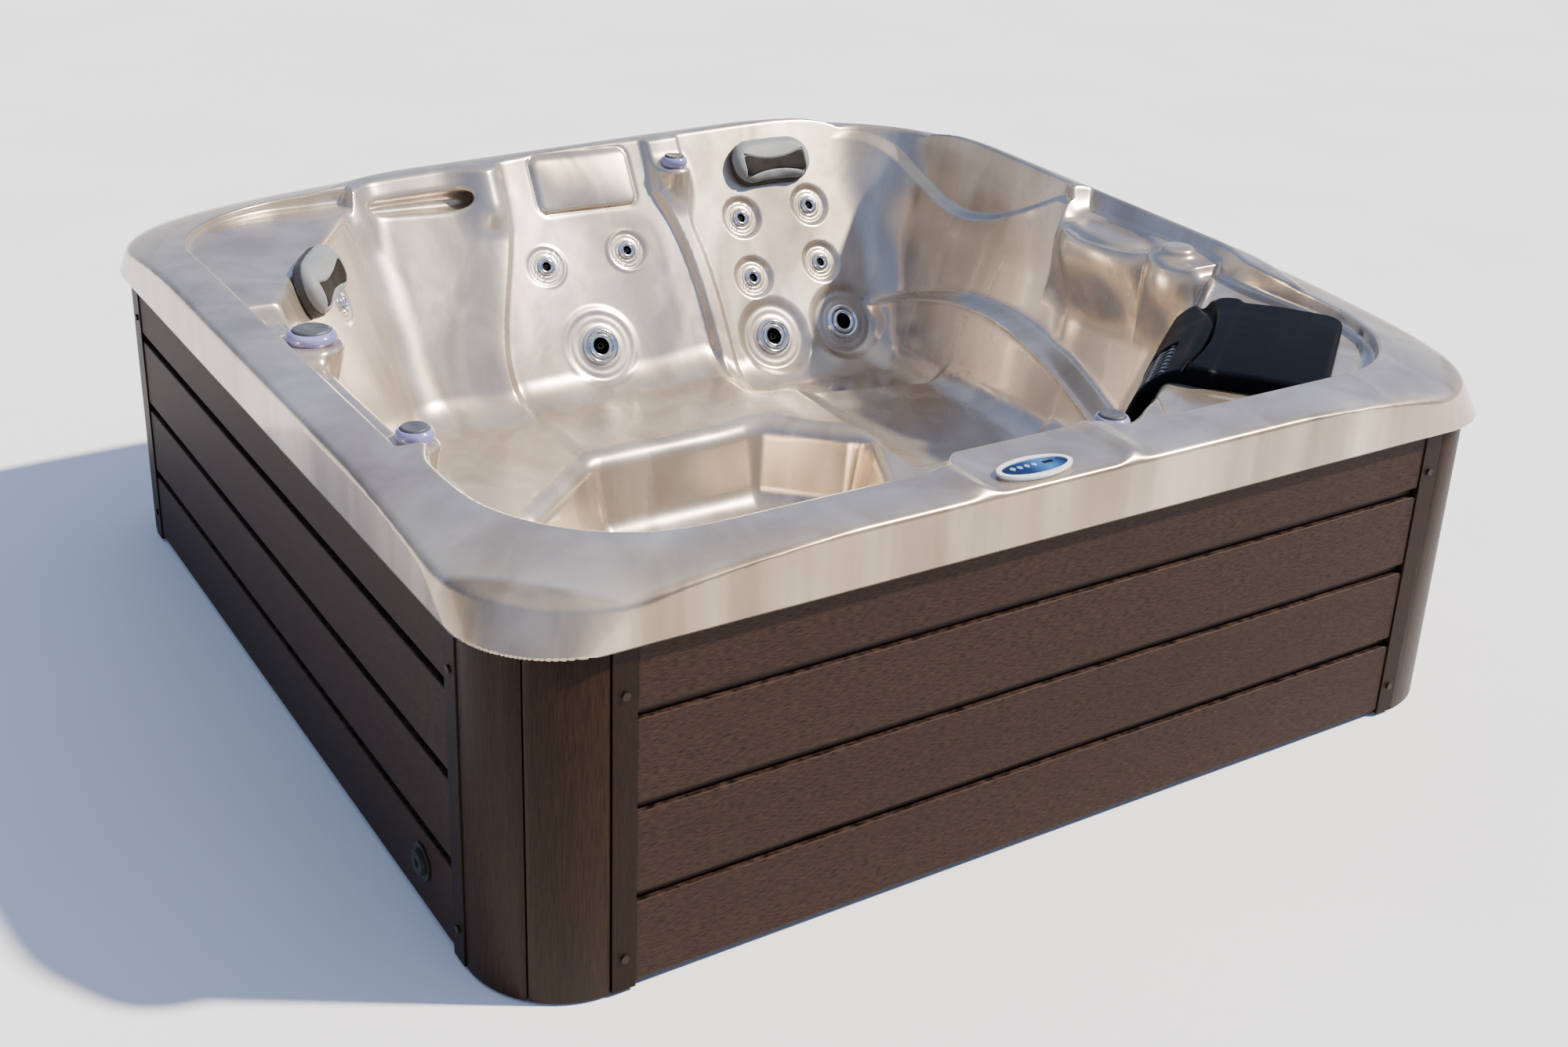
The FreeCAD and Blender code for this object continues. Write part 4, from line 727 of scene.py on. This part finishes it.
PAINT = {
    "shell": shell_paint(),
    "cabinet": board_paint("plank_board", (0.0050, 0.0026, 0.0018), (0.052, 0.028, 0.0195), (0.07, 0.07, 1)),
    "posts": board_paint("post_board", (0.0090, 0.0038, 0.0018), (0.030, 0.0135, 0.0062), (1, 1, 0.03),
                         (0.36, 0.5)),
    "trim": board_paint("trim_board", (0.0075, 0.0028, 0.0012), (0.017, 0.0068, 0.0030), (1, 1, 0.05),
                        (0.4, 0.52)),
    "backing": plain("stained_backing", (0.020, 0.0065, 0.0032), (0.040, 0.014, 0.007), (0.5, 0.65), 0.0006,
                     9, (1, 1, 4), 500),
    "screws": plain("dark_screws", (0.010, 0.0050, 0.0032), (0.020, 0.011, 0.0075), (0.34, 0.48), 0.0001,
                    shine=0.2),
    "tray": plain("black_tray", (0.012, 0.012, 0.012), (0.026, 0.026, 0.027), (0.5, 0.7), 0.0008, 30,
                  fine=300),
    "frame": timber_paint(),
    "foam": foam_paint(),
    "fittings": plain("champagne_fittings", (0.52, 0.49, 0.45), (0.62, 0.59, 0.55), (0.22, 0.34), 0.0001,
                      Metallic=0.2, Coat_Weight=0.4),
    "bezel": plain("white_bezel", (0.74, 0.75, 0.76), (0.86, 0.87, 0.87), (0.16, 0.26), 0.00006,
                   Coat_Weight=0.5),
    "control_face": face_paint(),
    "buttons": plain("pale_buttons", (0.20, 0.27, 0.42), (0.32, 0.40, 0.56), (0.3, 0.4), 0.0001),
    "knobs": knob_paint(),
    "caps": plain("knob_cap", (0.045, 0.047, 0.052), (0.085, 0.088, 0.095), (0.36, 0.52), 0.0003, 45,
                  fine=600),
    "valves": plain("valve_plastic", (0.62, 0.62, 0.60), (0.78, 0.78, 0.76), (0.35, 0.5)),
    "jet_chrome": chrome_paint("jet_chrome", (0.86, 0.86, 0.87), 0.06, 0.16),
    "jet_dark": plain("jet_core", (0.003, 0.003, 0.0035), (0.010, 0.010, 0.011), (0.28, 0.42), 0.0002,
                      shine=0.3),
    "pillows": plain("pillow_skin", (0.155, 0.168, 0.174), (0.205, 0.220, 0.226), (0.46, 0.62), 0.00035, 16,
                     fine=520, Sheen_Weight=0.1, shine=0.35),
    "pillow_back": plain("pillow_backing", (0.016, 0.016, 0.017), (0.035, 0.035, 0.037), (0.5, 0.66), 0.0004,
                         fine=500),
    "inserts": insert_paint(),
    "ports": plain("collar_grid", (0.020, 0.025, 0.035), (0.038, 0.046, 0.060), (0.2, 0.3), 0.0002,
                   shine=0.6),
    "collar": plain("collar_skin", (0.0010, 0.0015, 0.0026), (0.0026, 0.0034, 0.0052), (0.40, 0.54), 0.00035,
                    14, fine=600, shine=0.04),
    "pipes": plain("white_pipe", (0.70, 0.70, 0.68), (0.84, 0.84, 0.82), (0.3, 0.42)),
    "hoses": plain("clear_hose", (0.58, 0.61, 0.62), (0.74, 0.76, 0.76), (0.2, 0.34), 0.0003,
                   Transmission_Weight=0.2),
    "motor": plain("painted_motor", (0.13, 0.15, 0.18), (0.20, 0.22, 0.25), (0.36, 0.5), 0.0006, 40, fine=420,
                   Metallic=0.3),
    "pump": plain("pump_plastic", (0.016, 0.016, 0.017), (0.036, 0.036, 0.038), (0.42, 0.58), 0.0005,
                  fine=420),
    "heater": brushed_paint("brushed_heater", (0.66, 0.66, 0.67), (12, 300, 300)),
    "electrics": plain("grey_housing", (0.42, 0.43, 0.44), (0.55, 0.56, 0.57), (0.4, 0.55), 0.0004, fine=520),
    "cartridge": pleat_paint(),
    "drain": plain("drain_plastic", (0.010, 0.010, 0.011), (0.022, 0.022, 0.023), (0.4, 0.55), 0.0003,
                   shine=0.15),
}


def dress(piece, paint):
    """Give a CAD node its finish through the object's own slots."""
    if not piece.data.materials:
        piece.data.materials.append(None)
    for place in piece.material_slots:
        place.link = "OBJECT"
        place.material = PAINT[paint]


def finish_piece(piece, paint, slot, body, *nodes):
    """Paints a new piece, hides the nodes it stands for and attaches it to the body it rides; the slot
    argument is not used.
    """
    piece.data.materials.append(PAINT[paint])
    if nodes:
        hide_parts(*nodes)
    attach(piece, body)
    return piece


def add_mesh(name, verts, faces, sharp=35):
    """An object from points in millimetres, smooth except across sharp edges."""
    mesh = bpy.data.meshes.new(name)
    mesh.from_pydata([tuple(c * MM for c in v) for v in verts], [], faces)
    mesh.polygons.foreach_set("use_smooth", [True] * len(mesh.polygons))
    mesh.set_sharp_from_angle(angle=math.radians(sharp))
    return linked(name, mesh)


def axes_for(normal):
    """Rows: sideways, up and outward, all unit length."""
    w = np.array(normal, float)
    w /= np.linalg.norm(w)
    side = np.cross((0, 0, 1), w)
    side /= np.linalg.norm(side)
    return np.stack([side, np.cross(w, side), w])


def eased(profile, cut):
    """A profile with its corners rounded."""
    out = [profile[0]]
    for before, here, after in zip(profile, profile[1:], profile[2:]):
        a, b, c = np.array(before, float), np.array(here, float), np.array(after, float)
        reach_in = min(cut, 0.45 * np.linalg.norm(a - b))
        reach_out = min(cut, 0.45 * np.linalg.norm(c - b))
        start = b + (a - b) / max(np.linalg.norm(a - b), 1e-9) * reach_in
        end = b + (c - b) / max(np.linalg.norm(c - b), 1e-9) * reach_out
        for t in (0, 0.33, 0.67, 1):
            out.append(tuple((1 - t) ** 2 * start + 2 * t * (1 - t) * b + t * t * end))
    out.append(profile[-1])
    return out


def lathe_points(profile, origin, turn=np.eye(3), segments=72, lobes=0, depth=0.0, shift=(0, 0)):
    """A profile of (radius, height) turned about its axis, with its radius swollen into lobes."""
    verts, faces = [], []
    count = len(profile)
    for s in range(segments):
        angle = 2 * math.pi * s / segments
        swell = 1 + depth * math.cos(lobes * angle)
        for radius, height in profile:
            local = np.array([radius * swell * math.cos(angle) + shift[0],
                              radius * swell * math.sin(angle) + shift[1], height])
            verts.append(np.array(origin) + local @ turn)
    for s in range(segments):
        n = (s + 1) % segments
        for i in range(count - 1):
            faces.append((s * count + i, n * count + i, n * count + i + 1, s * count + i + 1))
    return verts, faces


def joined(parts):
    verts, faces = [], []
    for more_verts, more_faces in parts:
        faces += [tuple(i + len(verts) for i in face) for face in more_faces]
        verts += list(more_verts)
    return verts, faces


# ---- shell and foam
def seen_faces(centre):
    """Leaves out the block's hidden sides, which only close the field."""
    x, y, z = centre.T
    return ~(((block_side(x, y) > -12) & (z < LIP_BOTTOM + 3)) | (z < 30))


def foam_field(x, y, z):
    """The lumpy outside of the foam sprayed under the shell."""
    lumps = 5 * np.sin(x / 31 + 2 * np.sin(y / 53)) * np.sin(y / 27 + 1.5 * np.sin(z / 41))
    lumps *= np.sin(z / 23 + 1)
    lumps += 3 * np.sin(x / 11 + y / 17) * np.sin(z / 9 + x / 19)
    edge = np.maximum(np.abs(x), np.abs(y)) - 1040
    return np.maximum(np.maximum(hollow(x, y, z) - 30 - lumps, edge), 12 - z)


shell = field_mesh("tub_moulding", shell_field, (-1120, -1120, 0), (1120, 1120, 840), 20, 4,
                   seen_faces)
finish_piece(shell, "shell", "shell", "tub", "tub_shell", "rim_support")
foam = field_mesh("sprayed_foam", foam_field, (-1060, -1060, -20), (1060, 1060, 634), 27, 2, settle=1)
finish_piece(foam, "foam", "foam", "tub", "foam_wall_right", "foam_wall_back", "foam_wall_left",
             "foam_wall_front", "seat_supports", "footwell_support")

# ---- jets
# profiles as (radius, height over the wall)
LARGE_FLANGE = [(34.5, -2), (35, 1.5), (37, 5.5), (41, 7.5), (46, 5), (48, 1), (47, -4)]
LARGE_COLLAR = [(19.3, -16), (20.5, 4), (23.5, 8.5), (27.5, 9), (31, 6.5), (32.5, 1), (32.5, -6)]
LARGE_BOWL = [(35.5, -5), (19.5, -5), (19.5, -40), (0.01, -40)]
LARGE_NOZZLE = [(0.01, -22), (4.5, -22), (5, -8), (7, -5), (9, -8), (10, -40)]
SMALL_FLANGE = [(9, -10), (10, 1), (12, 5), (16, 6.5), (20.5, 4.5), (23, 1), (22.5, -4)]
SMALL_BOWL = [(10.4, -1), (10, -22), (0.01, -22)]
SMALL_NOZZLE = [(0.01, -12), (2.2, -12), (2.6, -3), (4, -1.6), (5.2, -3), (5.6, -22)]


def turned_piece(name, profiles, spots, ease=1.2, shift=(0, 0)):
    parts = []
    for point, normal in spots:
        for profile in profiles:
            parts.append(lathe_points(eased(profile, ease), point, axes_for(normal), shift=shift))
    return add_mesh(name, *joined(parts))


for label, (east, height) in zip(("middle", "right_a", "right_b"), LARGE):
    spot = back_frame(east, height)
    ring = turned_piece("jet_ring_" + label, [LARGE_FLANGE, LARGE_COLLAR], [spot])
    core = turned_piece("jet_core_" + label, [LARGE_BOWL], [spot])
    nozzle = turned_piece("jet_nozzle_" + label, [LARGE_NOZZLE], [spot], shift=(2.5, 1.5))
    body = "jet_" + label
    finish_piece(ring, "jet_chrome", "jet_chrome", body, "large_jet_" + label)
    finish_piece(core, "jet_dark", "jet_dark", body)
    finish_piece(nozzle, "jet_dark", "jet_dark", body)
small_spots = [back_frame(*place) for place in SMALL] + [corner_frame(CORNER_JET)]
small_rings = turned_piece("jet_rings_small", [SMALL_FLANGE], small_spots)
finish_piece(small_rings, "jet_chrome", "jet_chrome", "tub", "small_jet_rings")
small_cores = turned_piece("jet_cores_small", [SMALL_BOWL, SMALL_NOZZLE], small_spots, 0.8)
finish_piece(small_cores, "jet_dark", "jet_dark", "tub", "small_jet_nozzles")

# ---- knobs
KNOB_RING = [(30, -17), (33, -16), (40, 1), (46, 3), (50, 11), (49, 19), (42, 25), (37, 25.5), (36, 18)]
KNOB_CAP = [(36.4, 17), (36.6, 25), (34.5, 29), (30, 29.4), (12, 28.2), (0.01, 28)]
KNOBS = [("diverter", 1.0, (12, 0.006)), ("air_left", 0.68, (12, 0.006)), ("air_back", 0.68, (3, 0.10)),
         ("air_front", 0.68, (12, 0.006))]       # body, scale, the cap's lobes and their depth
for (label, scale, lobes), (east, north, top, _) in zip(KNOBS, BOSSES):
    seat = (east, north, top + 0.6)
    ring = [(r * scale, h) for r, h in eased(KNOB_RING, 3)]
    cap = [(r * scale, h) for r, h in eased(KNOB_CAP, 1.6)]
    ring_piece = add_mesh("knob_ring_" + label, *lathe_points(ring, seat, segments=96))
    cap_piece = add_mesh("knob_cap_" + label, *lathe_points(cap, seat, np.eye(3), 96, *lobes))
    node = "diverter_knob" if label == "diverter" else "air_knob_" + label[4:]
    finish_piece(ring_piece, "knobs", "knobs", label, node)
    finish_piece(cap_piece, "caps", "knobs", label)

# ---- pillows
def pillow_centre(u):
    """The pad's middle line, which droops at its ends."""
    return 3.0 - 5.0 * (u / 110) ** 2


def pillow_field(u, v, w):
    """A headrest in its own frame: u along the wall, v up it, w out of it."""
    v = v - pillow_centre(u)
    qu = np.abs(u) - 117 + 54
    qv = np.abs(v) - 63 + 4 * (u / 116) ** 2 + 54
    outline = np.hypot(np.maximum(qu, 0), np.maximum(qv, 0)) + np.minimum(np.maximum(qu, qv), 0) - 54
    top = 43 + 7 * (u / 110) ** 2 - 8 * np.maximum(0, v / 62) ** 2
    return smooth_max(round_max(outline, w - top, 21), 17 - w, 6)


def backing_field(u, v, w):
    """The dark shell between a pad and the wall."""
    v = v - pillow_centre(u) + 4
    outline = round_square(u, v, 114, 60, 50)
    return smooth_max(smooth_max(outline, w - 24, 4), 1.2 - w, 4)


def bow_edges(u):
    """Lower and upper edge of the bow-tie insert."""
    share = (np.abs(u) / 90) ** 2
    return -34 - 14 * share, -6 + 22 * share


def points_of(mesh):
    co = np.empty(len(mesh.vertices) * 3)
    mesh.vertices.foreach_get("co", co)
    return co.reshape(-1, 3)


def set_points(mesh, co):
    mesh.vertices.foreach_set("co", co.ravel())
    mesh.update()


def swell(piece, pressure, cap):
    """One cloth pass that fills the pad out, with no point moving further than cap."""
    before = points_of(piece.data)
    scene = bpy.context.scene
    scene.frame_set(1)
    cloth = piece.modifiers.new("fill", "CLOTH")
    cloth.settings.use_pressure = True
    cloth.settings.uniform_pressure_force = pressure
    cloth.settings.effector_weights.gravity = 0
    cloth.point_cache.frame_start = 1
    cloth.point_cache.frame_end = 20
    for number in range(1, 21):
        scene.frame_set(number)
    move = points_of(piece.evaluated_get(bpy.context.evaluated_depsgraph_get()).data) - before
    piece.modifiers.remove(cloth)
    scene.frame_set(1)
    length = np.linalg.norm(move, axis=1, keepdims=True)
    set_points(piece.data, before + move * np.minimum(1, cap / np.maximum(length, 1e-9)))


def subdivide(piece):
    step_up = piece.modifiers.new("smooth", "SUBSURF")
    step_up.levels = step_up.render_levels = 1
    mesh = bpy.data.meshes.new_from_object(piece.evaluated_get(bpy.context.evaluated_depsgraph_get()))
    piece.modifiers.clear()
    piece.data = mesh
    mesh.polygons.foreach_set("use_smooth", [True] * len(mesh.polygons))


def headrest(label, point, normal):
    """A pillow: its pad, the insert sunk in it and the shell behind it."""
    turn = axes_for(normal)
    origin = np.array(point, float)
    frame_of = (origin, turn)
    pad = field_mesh("pad_" + label, pillow_field, (-140, -84, 4), (140, 84, 68), 16, 3,
                     frame_of=frame_of, own_normals=False)
    swell(pad, 4.0, 0.004)
    subdivide(pad)
    tree = BVHTree.FromPolygons([v.co for v in pad.data.vertices], [p.vertices[:] for p in pad.data.polygons])
    # the bow-tie insert lies in a shallow recess
    across, rows = 60, 16
    points = []
    for i in range(across + 1):
        u = 90 * math.sin(math.pi / 2 * (2 * i / across - 1))
        low, high = bow_edges(u)
        squeeze = 1 - 0.25 * (abs(u) / 90) ** 14
        for j in range(rows + 1):
            t = j / rows
            v = (low + high) / 2 + (t - 0.5) * (high - low) * squeeze + pillow_centre(u)
            start = (origin + np.array([u, v, 90]) @ turn) * MM
            hit = tree.ray_cast(Vector(start), Vector(-turn[2]), 0.09)[0]
            crown = 1.2 * (1 - (2 * t - 1) ** 4)
            points.append(np.array(hit) / MM + turn[2] * (-1.6 + crown))
    faces = []
    for i in range(across):
        for j in range(rows):
            a = i * (rows + 1) + j
            faces.append((a, a + rows + 1, a + rows + 2, a + 1))
    insert = add_mesh("insert_" + label, points, faces)
    thick = insert.modifiers.new("thickness", "SOLIDIFY")
    thick.thickness = 0.004
    thick.offset = -1
    co = points_of(pad.data)
    local = (co / MM - origin) @ turn.T
    low, high = bow_edges(local[:, 0])
    v = local[:, 1] - pillow_centre(local[:, 0])
    inside = np.maximum(np.maximum(low - 1.5 - v, v - high - 1.5), np.abs(local[:, 0]) - 91.5)
    dip = 5.0 * step(-inside / 1.6) * (local[:, 2] > 22)
    set_points(pad.data, co - dip[:, None] * turn[2] * MM)
    back = field_mesh("backing_" + label, backing_field, (-140, -84, -10), (140, 84, 40), 16, 3,
                      frame_of=frame_of)
    node = "pillow_" + label
    finish_piece(pad, "pillows", "pillows", node, node)
    finish_piece(insert, "inserts", "inserts", node, node + "_insert")
    finish_piece(back, "pillow_back", "inserts", node)


left_normal = np.array([1, 0, LEFT_LEAN]) / math.hypot(1, LEFT_LEAN)
headrest("back_right", *back_frame(614, 704))
headrest("back_left", *corner_frame((-790, 562, 688)))
headrest("front_left", (LEFT_AT + 80 * LEFT_LEAN, -640, 660), left_normal)

# ---- neck collar
def over_edge(v, z):
    """Distance outside the deck and corner wall, whose edge is rounded."""
    lean = math.tan(math.radians(COLLAR_RECLINE))
    wall = (v - 142 - (WALL_TOP - z) * lean) * math.cos(math.radians(COLLAR_RECLINE))
    return round_max(z - 712, wall, 46)


def collar_band(u, v, z):
    """The band that hangs over the edge in front of the pad."""
    over = over_edge(v, z)
    ends = np.abs(u) - 232
    foot = 612 + 70 * step((u - 40) / 190) - z
    band = smooth_max(np.abs(over - 19) - 17.5, np.maximum(ends, foot), 12)
    return smooth_max(band, 70 - v, 8)


def collar_window(u, z):
    """The patch of the band that is the grille."""
    return np.maximum(np.maximum(np.abs(u + 122) - 90, 626 - z), z - 722)


def collar_field(u, v, z):
    """Pad and band in one body, parted by a groove that opens into a scoop at one end."""
    pad = round_square(u, v + 16, 230, 134, 46)
    crown = 750 + 4 * bump_at(v + 10, 80) - 4 * (u / 230) ** 2
    top = smooth_max(pad, z - crown, 14)
    top = smooth_max(top, 712.8 - z, 3)
    band = collar_band(u, v, z)
    seam = 5 - np.hypot(np.abs(collar_window(u, z)), over_edge(v, z) - 36.5)
    band = smooth_max(band, seam, 2)
    whole = smooth_min(top, band, 22)
    wide = 3 + 13 * step((u - 110) / 110)
    groove = np.hypot((v - 92 - 0.0007 * (u + 40) ** 2) / wide * 5, (z - 752) * 5 / (16 + wide)) - 5
    whole = smooth_max(whole, -groove, 5)
    return np.maximum(whole, -np.maximum(collar_window(u, z) - 1.0, 12 - over_edge(v, z)))


def grille_field(u, v, z):
    """The plate in the band's window, with rows of rounded ports."""
    plate = smooth_max(collar_band(u, v, z) + 1.5, collar_window(u, z) + 1.5, 3)
    plate = smooth_max(plate, 14 - over_edge(v, z), 3)
    across = (u + 212) % 22.5 - 11.25
    down = (z - 626) % 24 - 12
    port = round_square(across, down, 8.0, 8.6, 4.5)
    port = smooth_max(port, 22 - over_edge(v, z), 2)
    return smooth_max(plate, -port, 2.5)


east, north = COLLAR_ALONG
collar_place = (np.array([*COLLAR_AT, 0.0]), np.array([[east, north, 0], [-north, east, 0], [0, 0, 1]]))
collar = field_mesh("collar_pad", collar_field, (-250, -150, 585), (250, 250, 770), 18, 4,
                    frame_of=collar_place)
finish_piece(collar, "collar", "collar", "tub", "neck_collar")
grille = field_mesh("collar_ports", grille_field, (-240, 80, 590), (0, 250, 760), 12, 4,
                    frame_of=collar_place)
finish_piece(grille, "ports", "collar", "tub", "collar_grille")

# ---- the nodes that stay
# how much the CAD's sharp edges are eased, in millimetres
EASES = [(4.0, "front_planks right_planks back_planks left_planks control_box"), (3.0, "ozonator"),
         (1.6, "corner_posts"), (1.5, "frame_rails frame_studs"), (1.4, "front_trim_strips side_trim_strips"),
         (1.2, "front_panel_screws cabinet_screws"),
         (1.0, "control_bezel drain_cap drain_valve power_gland base_tray"),
         (0.5, "button_1 button_2 button_3 button_4")]
EASED_EDGES = {node: width for width, nodes in EASES for node in nodes.split()}
for part in frame["record"]["subparts"]:
    node, paint = part["node"], part["material_slot"]
    item = frame["nodes"][node]
    dress(item, "posts" if node == "corner_posts" else paint)
    if node in EASED_EDGES and not item.hide_render:
        weld = item.modifiers.new("weld", "WELD")
        weld.merge_threshold = 1e-5
        ease = item.modifiers.new("ease", "BEVEL")
        ease.width = EASED_EDGES[node] * MM
        ease.segments = 2
        ease.limit_method = "ANGLE"
        ease.angle_limit = math.radians(50)
        ease.harden_normals = True

# ---- floor, light and camera
def floor():
    p = Paint("pale_floor", shine=0.2)
    cloud = p.noise(1.2, (1, 1, 1), 4)
    p.link(p.ramp(cloud, (0.3, (0.86, 0.86, 0.86)), (0.7, (0.90, 0.90, 0.90))), "Base Color")
    p.gloss(cloud, 0.7, 0.8)
    far, level = 40000, -1
    item = add_mesh("floor", [(-far, -far, level), (far, -far, level), (far, far, level), (-far, far, level)],
                    [(0, 1, 2, 3)])
    item.data.materials.append(p.material)


def sky():
    """A warm horizon under a blue sky that pales overhead."""
    world = bpy.data.worlds.new("studio")
    bpy.context.scene.world = world
    world.use_nodes = True
    tree = world.node_tree
    back = tree.nodes["Background"]
    coords = tree.nodes.new("ShaderNodeTexCoord")
    split = tree.nodes.new("ShaderNodeSeparateXYZ")
    ramp = tree.nodes.new("ShaderNodeValToRGB")
    tree.links.new(coords.outputs["Generated"], split.inputs[0])
    tree.links.new(split.outputs["Z"], ramp.inputs["Fac"])
    tree.links.new(ramp.outputs["Color"], back.inputs["Color"])
    set_stops(ramp.color_ramp, [(0.0, (1.0, 0.98, 0.95)), (0.13, (0.84, 0.88, 0.95)),
                                (0.32, (0.29, 0.43, 0.82)), (0.62, (0.30, 0.46, 0.88)),
                                (1.0, (0.72, 0.79, 0.95))])
    back.inputs["Strength"].default_value = 0.95


def sun(name, towards, energy, colour, spread):
    data = bpy.data.lights.new(name, "SUN")
    data.energy = energy
    data.color = colour
    data.angle = math.radians(spread)
    linked(name, data).rotation_euler = Vector(towards).to_track_quat("Z", "Y").to_euler()


def camera():
    data = bpy.data.cameras.new("camera")
    item = linked("camera", data)
    place = (-2017.17, -3225.23, 2003.34)
    yaw, pitch, roll = 0.577, 0.406, 0.041
    ahead = Vector((math.sin(yaw) * math.cos(pitch), math.cos(yaw) * math.cos(pitch), -math.sin(pitch)))
    level_right = Vector((math.cos(yaw), -math.sin(yaw), 0))
    level_up = level_right.cross(ahead)
    right = math.cos(roll) * level_right + math.sin(roll) * level_up
    up = -math.sin(roll) * level_right + math.cos(roll) * level_up
    turn = Matrix((right, up, -ahead)).transposed().to_4x4()
    item.matrix_world = Matrix.Translation(Vector(place) * MM) @ turn
    data.sensor_fit = "HORIZONTAL"
    data.sensor_width = 36
    data.lens = 43.12341
    data.shift_y = -0.05
    data.clip_end = 200
    bpy.context.scene.camera = item


floor()
sky()
sun("key", (0.85, -0.5, 1.0), 11.0, (1.0, 0.91, 0.80), 2.5)
camera()
